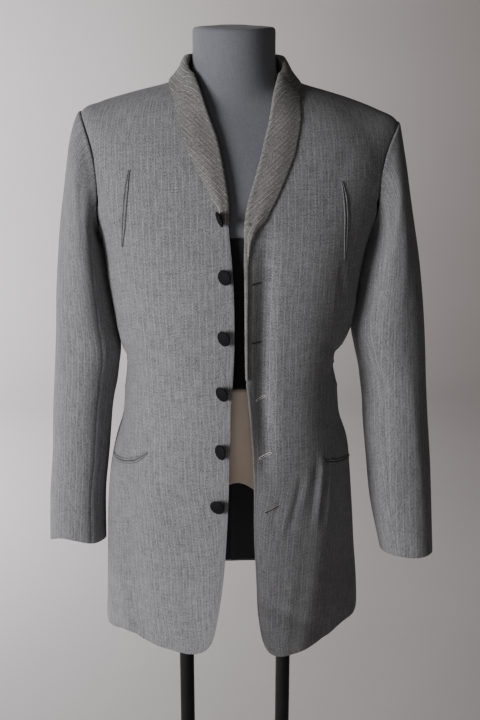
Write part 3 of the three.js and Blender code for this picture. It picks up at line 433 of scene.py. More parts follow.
def mesh_from(name, points, faces, uv=None):
    mesh = bpy.data.meshes.new(name)
    mesh.from_pydata((np.asarray(points) * MM).tolist(), [], [list(map(int, f)) for f in faces])
    if uv is not None:
        layer = mesh.uv_layers.new(name="cloth")
        corner = np.zeros(len(mesh.loops), np.int32)
        mesh.loops.foreach_get("vertex_index", corner)
        layer.data.foreach_set("uv", (np.asarray(uv)[corner] * MM).astype(np.float32).ravel())
    mesh.polygons.foreach_set("use_smooth", [True] * len(mesh.polygons))
    mesh.update()
    return mesh


def edit(*steps, by="FACE"):
    """Takes steps in edit mode on the active piece, with faces or edges selected."""
    bpy.ops.object.mode_set(mode="EDIT")
    bpy.ops.mesh.select_mode(type=by)
    for step in steps:
        step()
    bpy.ops.object.mode_set(mode="OBJECT")


def face_outward(piece):
    only(piece)
    bpy.ops.object.mode_set(mode="EDIT")
    bpy.ops.mesh.select_all(action="SELECT")
    bpy.ops.mesh.normals_make_consistent(inside=False)
    bpy.ops.object.mode_set(mode="OBJECT")


def inset(grid, first=0.0, last=0.0, start=0.0, end=0.0):
    """Moves the border points of a grid a little towards their inner neighbours."""
    moved = grid.copy()
    moved[0] += unit(grid[1] - grid[0]) * first
    moved[-1] += unit(grid[-2] - grid[-1]) * last
    moved[:, 0] += unit(grid[:, 1] - grid[:, 0]) * start
    moved[:, -1] += unit(grid[:, -2] - grid[:, -1]) * end
    return moved


def cloth_wall(name, outer, inner, uv, rim=0.5, **border):
    """A closed thin wall from two grids of points, inset at its borders, its rim softly rounded."""
    outer, inner = inset(outer, **border), inset(inner, **border)
    rows, cols = outer.shape[:2]
    points = np.concatenate([outer.reshape(-1, 3), inner.reshape(-1, 3)])
    inside = grid_faces(rows, cols, rows * cols)[:, ::-1]
    faces = np.concatenate([grid_faces(rows, cols), inside, rim_faces(rows, cols)])
    flat_uv = uv.reshape(-1, 2)
    piece = link(name, mesh_from(name, points, faces, np.concatenate([flat_uv, flat_uv])))
    rounding = piece.modifiers.new("rim", "BEVEL")
    rounding.width = rim * MM
    rounding.segments = 2
    rounding.limit_method = "ANGLE"
    rounding.angle_limit = math.radians(55)
    finish_modifiers(piece)
    face_outward(piece)
    return piece


def wear(piece, material, nodes):
    """Gives a finished piece its material, hangs it on the root body and hides the solids that it stands for.
    """
    piece.data.materials.clear()
    piece.data.materials.append(material)
    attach(piece, "root")
    if nodes:
        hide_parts(*nodes)
    return piece


# ---------- node materials ----------
class Shader:
    """A material and short calls that add its nodes."""

    def __init__(self, name):
        self.material = bpy.data.materials.new(name)
        self.material.use_nodes = True
        self.tree = self.material.node_tree
        self.surface = self.tree.nodes["Principled BSDF"]

    def feed(self, socket, value):
        """Links another node's output to a socket, or sets the socket to a number or a colour."""
        if hasattr(value, "is_output"):
            self.tree.links.new(value, socket)
        else:
            socket.default_value = (*value, 1) if socket.type == "RGBA" else value

    def node(self, kind, inputs=(), **settings):
        made = self.tree.nodes.new("ShaderNode" + kind)
        for key, value in settings.items():
            setattr(made, key, value)
        for socket, value in dict(inputs).items():
            self.feed(made.inputs[socket], value)
        return made

    def cloth(self):
        return self.node("UVMap", uv_map="cloth").outputs["UV"]

    def place(self):
        return self.node("TexCoord").outputs["Object"]

    def x_of(self, vector):
        return self.node("SeparateXYZ", {"Vector": vector}).outputs["X"]

    def math(self, operation, a, b=0.0, clamp=False):
        return self.node("Math", {0: a, 1: b}, operation=operation, use_clamp=clamp).outputs[0]

    def times(self, a, b, clamp=False):
        return self.math("MULTIPLY", a, b, clamp)

    def plus(self, a, b):
        return self.math("ADD", a, b)

    def total(self, *parts):
        """The sum of values, each given with its weight."""
        result, *others = (self.times(value, weight) for value, weight in parts)
        for other in others:
            result = self.plus(result, other)
        return result

    def noise(self, vector, scale, detail=2.0, roughness=0.5):
        """Soft noise, finer at a larger scale; a scale for each axis stretches it."""
        if isinstance(scale, tuple):
            inputs = {"Vector": vector, "Scale": (*scale, 1.0)[:3]}
            vector, scale = self.node("Mapping", inputs).outputs["Vector"], 1.0
        inputs = {"Vector": vector, "Scale": scale, "Detail": detail, "Roughness": roughness}
        return self.node("TexNoise", inputs).outputs["Fac"]

    def twill(self, vector, scale, wobble, detail=2.0):
        inputs = {"Vector": vector, "Scale": scale, "Distortion": wobble, "Detail": detail}
        return self.node("TexWave", inputs, bands_direction="DIAGONAL").outputs["Fac"]

    def span(self, value, low, high, to_low=0.0, to_high=1.0):
        inputs = {"Value": value, "From Min": low, "From Max": high, "To Min": to_low, "To Max": to_high}
        return self.node("MapRange", inputs).outputs["Result"]

    def mix(self, share, a, b, blend="MIX"):
        return self.node("Mix", {0: share, 6: a, 7: b}, data_type="RGBA", blend_type=blend).outputs[2]

    def finish(self, colour, rough, height=None, strength=0.0, distance=0.0, **values):
        """Feeds the surface and gives back the material; the height is raised as bump."""
        if height is not None:
            inputs = {"Height": height, "Strength": strength, "Distance": distance}
            values["Normal"] = self.node("Bump", inputs).outputs["Normal"]
        for key, value in {"Base Color": colour, "Roughness": rough, **values}.items():
            self.feed(self.surface.inputs[key.replace("_", " ")], value)
        return self.material


DARK_YARN, LIGHT_YARN = 0.42, 1.60     # the weave's darkest and lightest yarns against its tone
STRIPE_WANDER = 0.0012                 # metres that a stripe strays from a straight line


def stripe_line(shader, across, pitch, half_width):
    """1 on thin lines a pitch apart, 0 between them."""
    turn = shader.math("FRACT", shader.math("DIVIDE", across, pitch * MM))
    away = shader.math("ABSOLUTE", shader.math("SUBTRACT", turn, 0.5))
    return shader.span(away, 0.5 - half_width / pitch, 0.5)


def worsted(name, base, pale, clear=0.46, pitch=STRIPE_PITCH):
    """Fine wool suiting: pepper-and-salt weave with thin pale stripes along the cloth's own u."""
    shader = Shader(name)
    cloth = shader.cloth()
    wander = shader.math("SUBTRACT", shader.noise(cloth, (60, 14)), 0.5)
    u = shader.plus(shader.x_of(cloth), shader.times(wander, STRIPE_WANDER))
    main = stripe_line(shader, u, pitch, 0.7)
    faint = stripe_line(shader, shader.plus(u, pitch * MM / 2), pitch, 0.5)
    beads = shader.span(shader.noise(cloth, (210, 330), 1.0), 0.38, 0.6, 0.15, 1.0)
    lines = shader.times(shader.plus(main, shader.times(faint, 0.35)), beads, True)

    pepper = shader.noise(cloth, (560, 500), 2.0, 0.7)
    streaks = shader.noise(cloth, (330, 40), 2.0, 0.6)
    picks = shader.noise(cloth, (36, 300), 1.0)
    grain = shader.total((pepper, 0.62), (streaks, 0.26), (picks, 0.12))
    dark, light = (tuple(c * yarn for c in base) for yarn in (DARK_YARN, LIGHT_YARN))
    cloudy = shader.span(shader.noise(cloth, (9, 7), 3.0, 0.55), 0.3, 0.7)
    clouds = shader.mix(cloudy, (0.93, 0.93, 0.935), (1.05, 1.05, 1.045))
    body = shader.mix(1.0, shader.mix(shader.span(grain, 0.36, 0.64), dark, light), clouds, "MULTIPLY")
    height = shader.total((shader.twill(cloth, 560.0, 1.2, 1.0), 0.35), (grain, 1.0), (lines, 0.3))
    return shader.finish(shader.mix(shader.times(lines, clear), body, pale),
                         shader.span(grain, 0.3, 0.7, 0.92, 0.74), height, 0.35, 0.0004,
                         Sheen_Weight=0.12, Sheen_Roughness=0.5, Specular_IOR_Level=0.18)


def lining_cloth():
    """Black twill lining with a faint sheen: real specular, and a painted sheen that lightens the colour
    along the raised twill lines.
    """
    shader = Shader("black_twill_lining")
    cloth = shader.cloth()
    twill = shader.twill(cloth, 420.0, 0.6)
    colour = shader.mix(shader.noise(cloth, (14, 9), 3.0), (0.009, 0.008, 0.012), (0.022, 0.020, 0.027))
    # Painted sheen: the colour is lighter where the twill's bump rises.
    return shader.finish(shader.mix(shader.times(twill, 0.3), colour, (0.036, 0.032, 0.042)),
                         shader.span(twill, 0, 1, 0.42, 0.6), twill, 0.2, 0.0002, Specular_IOR_Level=0.3)


def knit_cover(name, deep, pale, strength):
    """Fine jersey stretched over the form, read in object space."""
    shader = Shader(name)
    place = shader.place()
    knit = shader.noise(place, (900, 900, 520), 2.0, 0.6)
    ribs = shader.noise(place, (420, 420, 30), 1.0)
    mixed = shader.total((knit, 0.5), (ribs, 0.2), (shader.noise(place, 7.0, 3.0), 0.3))
    return shader.finish(shader.mix(shader.span(mixed, 0.35, 0.65), deep, pale),
                         shader.span(knit, 0.3, 0.7, 0.95, 0.8), knit, strength, 0.0004,
                         Sheen_Weight=0.2, Sheen_Roughness=0.6, Specular_IOR_Level=0.15)


def pale_shell():
    """The form's bare hip shell: smooth, pale, faintly mottled and scuffed."""
    shader = Shader("pale_shell")
    place = shader.place()
    cloudy = shader.span(shader.noise(place, 9.0, 4.0), 0.35, 0.65)
    tone = shader.mix(cloudy, (0.70, 0.585, 0.48), (0.78, 0.665, 0.56))
    scuffs = shader.noise(place, (60, 60, 12), 4.0, 0.7)
    worn = shader.times(shader.span(scuffs, 0.62, 0.75), 0.35)
    return shader.finish(shader.mix(worn, tone, (0.55, 0.45, 0.36)),
                         shader.span(scuffs, 0.3, 0.7, 0.38, 0.6), scuffs, 0.08, 0.0005)


def covered_button_cloth():
    """Black cloth drawn tight over the buttons, a little worn, with a painted highlight that lightens the
    colour where the weave's bump rises.
    """
    shader = Shader("black_button_cloth")
    place = shader.place()
    weave = shader.noise(place, (1500, 1500, 1500), 2.0, 0.6)
    worn = shader.times(shader.noise(place, 160.0), 0.2)
    # Painted highlight: the weave's raised threads are coloured lighter; the paler patches mixed in next are
    # wear.
    colour = shader.mix(shader.span(weave, 0.35, 0.65), (0.0012, 0.0012, 0.0016), (0.008, 0.008, 0.010))
    return shader.finish(shader.mix(worn, colour, (0.012, 0.012, 0.014)),
                         shader.span(weave, 0.3, 0.7, 0.85, 0.6), weave, 0.5, 0.0003, Specular_IOR_Level=0.1)


def painted_steel():
    """Black paint with a fine orange peel and some dust."""
    shader = Shader("black_painted_steel")
    place = shader.place()
    dust = shader.noise(place, (30, 30, 8), 4.0, 0.65)
    colour = shader.mix(shader.span(dust, 0.5, 0.8), (0.004, 0.004, 0.0045), (0.012, 0.0115, 0.0115))
    return shader.finish(colour, shader.span(dust, 0.3, 0.8, 0.42, 0.66), shader.noise(place, 900.0),
                         0.12, 0.0003, Specular_IOR_Level=0.22)


def thread(name, colour):
    """Twisted sewing thread, its colour darker where its bump sinks between the turns: painted shade."""
    shader = Shader(name)
    twist = shader.noise(shader.place(), (3000, 3000, 1500), 1.0)
    # Painted shade: the colour drops to 0.7 of itself where the twist's bump is low.
    return shader.finish(shader.mix(twist, tuple(c * 0.7 for c in colour), colour),
                         shader.span(twist, 0.3, 0.7, 0.75, 0.55), twist, 0.3, 0.0002)


WOOL = worsted("grey_pinstripe_worsted", (0.150, 0.151, 0.158), (0.46, 0.46, 0.47))
BIAS_WOOL = worsted("grey_worsted_on_the_bias", (0.128, 0.126, 0.121), (0.55, 0.54, 0.50), 0.62, 8.0)
LIP_WOOL = worsted("grey_worsted_pocket_lips", (0.135, 0.136, 0.143), (0.40, 0.40, 0.41))
LINING = lining_cloth()
BUTTON_CLOTH = covered_button_cloth()
GREY_THREAD = thread("grey_thread", (0.12, 0.12, 0.125))
PALE_THREAD = thread("pale_thread", (0.74, 0.72, 0.66))
WORN_THREAD = thread("worn_thread", (0.26, 0.25, 0.24))
# Painted shadow: dark colours for strips that stand for the shade in the pocket seams and openings. The
# lighter copy is for the lit right front and the darker one for the shaded left front. The darker one also
# colours the right front's pocket mouths and the dark stitches round the left lapel's eyelet.
PAINTED_WELT_SHADOW_AND_DARK_STITCH = {-1: thread("painted_welt_shadow_lit_front", (0.062, 0.062, 0.066)),
              1: thread("painted_welt_shadow_deep_and_dark_stitches", (0.030, 0.030, 0.033))}
GREY_JERSEY = knit_cover("grey_form_jersey", (0.092, 0.098, 0.112), (0.136, 0.143, 0.160), 0.25)
BLACK_JERSEY = knit_cover("black_form_jersey", (0.007, 0.006, 0.009), (0.018, 0.016, 0.021), 0.2)
SHELL = pale_shell()
STEEL = painted_steel()


# ---------- body panels ----------
LOWER_ROWS, ARM_ROWS, TOP_ROWS = 110, 44, 40
FRONT_COLUMNS, BACK_COLUMNS = 64, 54
DITCH_DEPTH, DITCH_WIDTH = 0.7, 2.2    # how the cloth dips into a seam
DIP_THINS = 0.4                        # share of a dip that the inner face follows further in
EDGE_BEAD = {-1: 0.7, 1: 1.5}          # how far the turned front edge stands up
BEAD_PLACE = 2.4                       # how far in from the edge, and how wide
BEAD_TOP = {-1: 12.8, 1: 7.4}          # the ring where the collar takes over from it
EDGE_ROLL = 1.7                        # how far the left edge rolls out just below the collar's end


def panel_rings(low):
    """Ring numbers of a panel's rows, for an array with each column's lowest ring."""
    lower = lerp(low[None, :], PIT, np.linspace(0, 1, LOWER_ROWS)[:, None])
    arm = lerp(PIT, TIP, (1 - np.cos(np.pi * np.arange(1, ARM_ROWS + 1) / ARM_ROWS)) / 2)
    top = lerp(TIP, NECK, np.arange(1, TOP_ROWS + 1) / TOP_ROWS)
    upper = np.repeat(np.concatenate([arm, top])[:, None], len(low), axis=1)
    return np.concatenate([lower, upper])


def seam_dip(grid, start, end):
    """How deep each point lies for being near the seams at the first or last column."""
    across = arc_along(grid, 1)
    back = across[:, -1:] - across
    near_start = np.exp(-((across / DITCH_WIDTH) ** 2)) if start else 0
    near_end = np.exp(-((back / DITCH_WIDTH) ** 2)) if end else 0
    return DITCH_DEPTH * (near_start + near_end)


def grain_uv(side, ring, phi, grid, centre_phi):
    """u runs round the body from its middle line, v runs up the cloth."""
    u = arc_along(grid, 1)
    first = ring_point(side, ring[:, 0], phi[:, 0])
    middle = ring_point(side, ring[:, 0], np.full(len(ring), float(centre_phi)))
    u = u + np.linalg.norm(first - middle, axis=-1)[:, None]
    return np.stack([side * u, arc_along(grid, 0)], -1)


def wool_panel(node, plain, normal, dip, uv, **border):
    """A wool piece on its plain surface, with dips into its outer face."""
    outer = plain - normal * dip[..., None]
    inner = plain - normal * (WALL + DIP_THINS * np.abs(dip))[..., None]
    return wear(cloth_wall(f"{node}_cloth", outer, inner, uv, **border), WOOL, [node])


def body_panel(side, front):
    columns = np.linspace(0, 1, FRONT_COLUMNS) ** 1.25 if front else np.linspace(0, 1, BACK_COLUMNS)
    ring = panel_rings(corner_ring(side, columns) if front else np.zeros(len(columns)))
    reach = armhole_reach(ring) * columns ** 1.6
    phi = lerp(front_edge(side, ring), 90, columns) - reach if front else lerp(180, 90, columns) + reach
    plain = body_point(side, ring, phi)
    dip = seam_dip(plain, not front, True)
    start = 0 if front else SEAM_GAP
    if front:
        below_collar = 1 - smooth((ring - BEAD_TOP[side]) / 0.8)
        across = (arc_along(plain, 1) - BEAD_PLACE) / BEAD_PLACE
        dip = dip - EDGE_BEAD[side] * below_collar * np.exp(-(across ** 2))
    if front and side > 0:
        start = -EDGE_ROLL * (smooth((8.15 - ring[:, :1]) / 0.12) * smooth((ring[:, :1] - 4.6) / 3.4))
    uv = grain_uv(side, ring, phi, plain, 0 if front else 180)
    node = f"{'front' if front else 'back'}_{hand(side)}"
    return wool_panel(node, plain, body_normal(side, ring, phi), dip, uv, start=start, end=SEAM_GAP)


LINING_RINGS = (0.12, 7.85)            # from just above the hem to the waist
LINING_EASE = 0.3                      # further inside than what is laid on


def back_lining(side):
    """The lining of the back skirt, hung just inside the back panel with its own soft waves."""
    ring, phi = np.meshgrid(np.linspace(*LINING_RINGS, 70), np.linspace(180, 90, 48), indexing="ij")
    outer = body_point(side, ring, phi, -WALL - LAID_GAP - LINING_EASE)
    wave = 0.6 * np.sin(phi / 4.2) * np.sin(ring * 0.8 + side) - 0.6
    inner = outer + body_normal(side, ring, phi) * (wave - LINING_WALL)[..., None]
    outer, inner = (inset(grid, start=SEAM_GAP) for grid in (outer, inner))
    uv = np.stack([side * arc_along(outer, 1), arc_along(outer, 0)], -1)
    node = f"lining_{hand(side)}"
    return wear(cloth_wall(f"{node}_cloth", outer, inner, uv, 0.3), LINING, [node])


# ---------- sleeves ----------
def sleeve_start(side, theta):
    """Where the sleeve meets the armhole, a hair inside its edge."""
    ring, phi = armhole_place(theta)
    edge = body_point(side, ring, phi, creased=False)
    holeward = body_point(side, *armhole_place(theta, 0.96), creased=False) - edge
    under = smooth((0.2 - np.cos(np.radians(theta))) / 0.8)
    lift = body_normal(side, ring, phi) * (UNDERARM_LIFT * under)[..., None]
    return edge + unit(holeward) * ARMHOLE_GAP + lift


def sleeve_ring(side, at, theta):
    """Points of the plain sleeve at ring numbers and angles round from the outside."""
    table = SLEEVES[side]
    last = len(table.rows) - 1
    cos, sin = np.cos(np.radians(theta)), np.sin(np.radians(theta))

    def oval(k):
        out = (1 + signed_power(cos, SLEEVE_OVAL)) / 2
        u = lerp(table.at("ui", k), table.at("uo", k), out)
        z = lerp(table.at("zi", k), table.at("zo", k), out)
        slant = CUFF_RISE * smooth((k - last + 2.5) / 2.5)
        z = z + ride(CUFF_RISES, "theta", side, theta) * smooth((k - last + 1.3) / 1.3)
        y = table.at("yc", k) - table.at("b", k) * signed_power(sin, SLEEVE_OVAL)
        return np.stack([side * u, y, z + slant * sin], -1)

    head = sleeve_start(side, theta) - oval(np.zeros_like(at))
    return oval(np.maximum(at, 0)) + head * (1 - smooth(at / HEAD_REACH))[..., None]


def sleeve_relief(side, at, theta):
    """Folds, creases and the rolled sleeve head, as a height over the plain sleeve."""
    height = np.zeros(at.shape)
    rows = SLEEVE_FOLDS.each() + [c for c in SLEEVE_CREASES.each() if c["side"] == side]
    for fold in rows:
        turned = (theta - fold["theta"] + 180) % 360 - 180 if "side" in fold else theta - fold["theta"]
        turned = turned - fold["slant"] * (at - fold["ring"])
        along = (at - fold["ring"]) / fold["rings"]
        height = height + fold["depth"] * np.exp(-(along ** 2) - (turned / fold["spread"]) ** 2)
    over = smooth((np.cos(np.radians(theta)) + 0.35) / 0.9)
    return height + HEAD_ROLL * over * np.exp(-(((at - 0.35) / 0.4) ** 2))


def sleeve_panel(side, upper):
    start, end, count = (-SLEEVE_SEAM, SLEEVE_SEAM, 73) if upper else (SLEEVE_SEAM, 360 - SLEEVE_SEAM, 37)
    down = (len(SLEEVES[side].rows) - 1) * np.linspace(0, 1, 150) ** 1.35
    at, theta = np.meshgrid(down, np.linspace(start, end, count), indexing="ij")
    base = sleeve_ring(side, at, theta)
    around = sleeve_ring(side, at, theta + 2) - sleeve_ring(side, at, theta - 2)
    down = sleeve_ring(side, at + 0.1, theta) - sleeve_ring(side, np.maximum(at - 0.1, 0), theta)
    normal = unit(np.cross(around, down) * side)
    rise = sleeve_relief(side, at, theta) + 0.8 * ease(side, base) * smooth(at)
    plain = base + normal * rise[..., None]
    across = arc_along(plain, 1)
    uv = np.stack([side * (across - across[:, count // 2][:, None]), -arc_along(plain, 0)], -1)
    return wool_panel(f"sleeve_{'upper' if upper else 'under'}_{hand(side)}", plain, normal,
                      seam_dip(plain, True, True), uv, start=SEAM_GAP, end=SEAM_GAP)


# ---------- shawl collar ----------
COLLAR_FOOT = {-1: 13.7, 1: 8.2}       # the ring where each side's roll line starts
COLLAR_RUN_OUT = {-1: 0.8, 1: 3.0}     # rings over which it grows from the edge
COLLAR_STEPS = {-1: 90, 1: 130}
COLLAR_RING = 20.4                     # the body ring that its outer edge follows beside the neck
COLLAR_SLANT = 0.85                    # how far the stripes run across for each step along it
EYELET_RING, EYELET_SHARE = 13.8, 0.34   # the eyelet's height, and its place from roll to outer edge
EYELET_RADIUS, EYELET_STITCHES, EYELET_DOT = 2.1, 14, (4.2, 1.35)


def collar_station(side, s):
    """Frame of the collar at s: 0 to 1 up the roll line, 1 to 2 round to the centre back."""
    lapel = s <= 1
    ring = np.where(lapel, lerp(COLLAR_FOOT[side], NECK, s), NECK)
    neck_edge = float(front_edge(side, np.array(NECK, float)))
    phi = np.where(lapel, front_edge(side, ring), lerp(neck_edge, 180, s - 1))
    base = body_point(side, ring, phi, creased=False)
    normal = body_normal(side, ring, phi)
    out_u = own("e", side, ring) + SPREAD.key(hand(side), ring)
    sideways = smooth((phi - neck_edge) / (90 - neck_edge))
    backward = np.clip((phi - 90) / 90, 0, 1)
    out_ring = np.where(lapel, np.minimum(ring, lerp(20, COLLAR_RING, np.clip((ring - 20) / 2, 0, 1))),
                        lerp(COLLAR_RING, 21.35, sideways) - 0.1 * backward)
    lapel_phi = phi_of_u(side, out_ring, out_u)
    neck_phi = lerp(phi_of_u(side, np.full(s.shape, COLLAR_RING), out_u), phi, sideways)
    run_out = smooth((ring - COLLAR_FOOT[side]) / COLLAR_RUN_OUT[side])
    rim_lift = LAID_GAP + lerp(1.15, 1.9, run_out)
    rim = body_point(side, out_ring, np.where(lapel, lapel_phi, neck_phi), rim_lift, creased=False)
    stand = smooth((ring - 18) / 4)
    reach = np.linalg.norm(rim - base, axis=-1)
    full = smooth((reach - 3) / 12) * lerp(0.3, 1, run_out)
    rise = np.where(lapel, lerp(2.2, 3.6, full) + 12 * stand ** 1.5, lerp(15.6, 31.5, sideways))
    turn = np.where(lapel, 0.55 * stand, lerp(0.55, 1, sideways))[:, None]
    outward = unit(base * (1, 1, 0))
    lean = unit(np.array((0, 0, 1)) + outward * lerp(-0.4, -0.28, backward)[:, None])
    hollow = np.where(lapel, lerp(1.1, -1, smooth((ring - 19) / 3)), lerp(-1, -3, sideways))
    return SimpleNamespace(
        base=base, normal=normal, lift=unit(lerp(normal, lean, turn)), across=unit(rim - base), rim=rim,
        rise=rise[:, None], hollow=hollow[:, None], full=full[:, None], reach=reach[:, None],
        ring=np.where(lapel, ring, NECK + 9))


def even_curve(points, shares):
    """A centripetal curve through points (knots, rows, 3), read at shares 0 to 1 of its knots."""
    first, last = 2 * points[:1] - points[1:2], 2 * points[-1:] - points[-2:-1]
    knots = np.concatenate([first, points, last])
    spans = len(points) - 1
    result = []
    for share in shares:
        i = min(int(share * spans), spans - 1)
        k = share * spans - i
        p0, p1, p2, p3 = knots[i:i + 4]
        d0, d1, d2 = (np.sqrt(np.linalg.norm(b - a, axis=-1, keepdims=True))
                      for a, b in ((p0, p1), (p1, p2), (p2, p3)))
        t1 = ((p1 - p0) / d0 - (p2 - p0) / (d0 + d1) + (p2 - p1) / d1) * d1
        t2 = ((p2 - p1) / d1 - (p3 - p1) / (d1 + d2) + (p3 - p2) / d2) * d1
        result.append(p1 + k * (t1 + k * (3 * (p2 - p1) - 2 * t1 - t2 + k * (2 * (p1 - p2) + t1 + t2))))
    return np.stack(result, 1)


def collar(side):
    """Half of the collar, from its foot on the front edge round to the centre back."""
    up_roll, round_neck = np.linspace(0, 1, COLLAR_STEPS[side])[:-1], np.linspace(1, 2, 60)
    f = collar_station(side, np.concatenate([up_roll, round_neck]))

    def leaf(a, d):
        return f.base + f.across * a + f.lift * d

    beyond = lerp(1.35, 2.65, f.full)
    start = f.base - f.across * 1.5 - f.normal * 0.7
    crest = leaf(np.minimum(5.0, 0.4 * f.reach), np.maximum(f.rise + lerp(-0.6, 0.6, f.full), 1.9))
    middle = lerp(crest, f.rim, 0.5) + f.normal * lerp(0.25, f.hollow + 1.0, f.full)
    shoulder = leaf(-beyond, f.rise - lerp(0.7, 1.2, f.full))
    fold = leaf(lerp(-0.3, -0.6, f.full), f.rise + lerp(0.1, 0.5, f.full))
    knots = np.stack([start, leaf(-beyond, f.rise * 0.5), shoulder, fold, crest, middle, f.rim])
    grid = even_curve(knots, np.linspace(0, 1, 46))
    along, across = arc_along(grid, 0), arc_along(grid, 1)
    normal = unit(np.cross(np.gradient(grid, axis=1), np.gradient(grid, axis=0)) * side)
    wave = 0.5 * np.sin(along / 27 + side) * np.sin(across / 11) * smooth(across / 14)
    grid = grid + normal * wave[..., None]
    half = normal * (COLLAR_WALL / 2 * lerp(0.6, 1, f.full)[..., None])
    wide = smooth((f.reach - 8) / 14)
    slanting = np.insert(np.cumsum(np.diff(along, axis=0) * wide[1:], axis=0), 0, 0, axis=0)
    uv = np.stack([across - COLLAR_SLANT * np.mean(slanting, axis=1, keepdims=True), along], -1)
    node = f"collar_{hand(side)}"
    piece = cloth_wall(f"{node}_cloth", grid + half, grid - half, uv, 0.6, last=SEAM_GAP)
    return wear(piece, BIAS_WOOL, [node]), lapel_eyelet(grid, normal, f) if side > 0 else []


def lapel_eyelet(grid, normal, f):
    """The worn round eyelet at the lower end of the left lapel: a dark dot in a ring of stitches; the dot is
    black lining cloth, painted shade in the hole.
    """
    i = int(np.argmin(np.abs(f.ring - EYELET_RING)))
    row = grid[i]
    roll = int(np.argmin(row[:, 0]))
    target = lerp(row[roll, 0], row[-1, 0], EYELET_SHARE)
    j = roll + int(np.argmin(np.abs(row[roll:, 0] - target)))
    up = normal[i, j] * (1 if normal[i, j, 1] < 0 else -1)
    along = unit(grid[i + 1, j] - grid[i - 1, j])
    along = unit(along - up * np.dot(along, up))
    over = np.cross(up, along)
    top = row[j] + up * (COLLAR_WALL / 2 + 0.15)
    turns = np.linspace(0, 2 * np.pi, EYELET_STITCHES, endpoint=False)
    spokes = [along * math.cos(a) + over * math.sin(a) for a in turns]
    rows = [(top + spoke * EYELET_RADIUS, spoke, up) for spoke in spokes]
    ring = stitches("buttonhole_1_stitches", rows, 1.2, PURL_RADIUS)
    # Painted shade: a black dot stands for the shade in the eyelet's hole.
    dot = stitches("buttonhole_1_slit", [(top - up * 0.9, along, up)], *EYELET_DOT)
    return [wear(ring, PAINTED_WELT_SHADOW_AND_DARK_STITCH[1], []), wear(dot, LINING, [])]


# ---------- pockets ----------
LIP_WIDTH, LIP_THICK, LIP_CROWN, MOUTH, LIP_STEPS = 3.0, 1.25, 0.75, 1.4, 44
POCKET_POINT = 0.4         # how narrow a pocket gets at its ends
PAINTED_SHADOW_IN, PAINTED_SHADOW_OUT = 0.1, 0.6   # the painted shadow strip beside a lip, either way of the lip's edge
MOUTH_UNDER = 0.4          # how far the dark mouth strip, painted shade in the opening, reaches under each lip
TACK_HALF, TACK_STITCHES, TACK_LENGTH, TACK_RADIUS = 1.7, 9, 2.0, 0.28


def ring_at_height(side, z, phi):
    """Ring numbers where the body reaches the heights z at the angles phi, by halving."""
    low, high = np.zeros(np.shape(z)), np.full(np.shape(z), float(NECK))
    for _ in range(30):
        middle = (low + high) / 2
        below = ring_point(side, middle, phi)[..., 2] < z
        low, high = np.where(below, middle, low), np.where(below, high, middle)
    return low


def pocket_line(side, pocket):
    """The line of a pocket's mouth."""
    k = np.linspace(0, 1, LIP_STEPS + 1)
    bow = 4 * k * (1 - k)
    phi = lerp(pocket["phi0"], pocket["phi1"], k) + pocket["bow_phi"] * bow
    z = lerp(pocket["z0"], pocket["z1"], k) + pocket["bow_z"] * bow
    return line_on_body(side, ring_at_height(side, z, phi), phi)


def pocket_strip(name, line, low, high, thick, crown):
    """A narrow strip of cloth along a pocket's mouth, between two distances from its line."""
    place, normal, _, over = line
    c = np.linspace(0, 1, 9)
    across = lerp(low, high, c)
    dome = crown * np.sqrt(np.clip(1 - (2 * c - 1) ** 2, 0, 1))
    k = np.linspace(0, 1, LIP_STEPS + 1)
    taper = lerp(POCKET_POINT, 1, smooth(np.minimum(k, 1 - k) / 0.3))
    flat = place[:, None] + over[:, None] * (taper[:, None] * across)[..., None]
    outer = flat + normal[:, None] * (LAID_GAP + thick - crown + dome)[None, :, None]
    inner = flat + normal[:, None] * LAID_GAP
    along = arc_along(flat, 0)
    uv = np.stack([along * 0.4 + across, along], -1)
    return cloth_wall(name, outer, inner, uv, 0.25)


def pocket(side, kind, names, signs):
    """Two rolled lips with a dark mouth between them and a bar tack at each end; the mouth and the dark
    strips along the lips' outer edges are painted shade.
    """
    line = pocket_line(side, POCKETS[f"{kind}_{hand(side)}"])
    pieces = []
    for name, sign in zip(names, signs):
        node = f"{kind}_{name}_{hand(side)}"
        low, high = sign * MOUTH / 2, sign * (MOUTH / 2 + LIP_WIDTH)
        strip = pocket_strip(f"{node}_lip", line, low, high, LIP_THICK, LIP_CROWN)
        pieces.append(wear(strip, LIP_WOOL, [node]))
    # Painted shadow: a dark strip along each lip's outer edge stands for the shade in the seam beside it.
    for sign in signs:
        edge = sign * (MOUTH / 2 + LIP_WIDTH)
        name = f"{kind}_ditch_{'in' if sign > 0 else 'out'}_{hand(side)}"
        low, high = sorted((edge - sign * PAINTED_SHADOW_IN, edge + sign * PAINTED_SHADOW_OUT))
        painted_seam_shadow = pocket_strip(name, line, low, high, 0.3, 0.05)
        pieces.append(wear(painted_seam_shadow, PAINTED_WELT_SHADOW_AND_DARK_STITCH[side], []))
    # Painted shade in the pocket's opening: a dark strip of black lining cloth on the left front and of the
    # darker shadow colour on the right front.
    half = MOUTH / 2 + MOUTH_UNDER
    mouth = pocket_strip(f"{kind}_mouth_{hand(side)}", line, -half, half, 0.4, 0.1)
    pieces.append(wear(mouth, LINING if side > 0 else PAINTED_WELT_SHADOW_AND_DARK_STITCH[1], []))
    place, normal, along, over = line
    for end, i in (("start", 0), ("end", -1)):
        centre = place[i] + normal[i] * (LAID_GAP + 0.9)
        steps = np.linspace(-TACK_HALF, TACK_HALF, TACK_STITCHES)
        rows = [(centre + over[i] * step, along[i], normal[i]) for step in steps]
        tack = stitches(f"{kind}_tack_{end}_{hand(side)}", rows, TACK_LENGTH, TACK_RADIUS)
        pieces.append(wear(tack, GREY_THREAD, []))
    return pieces


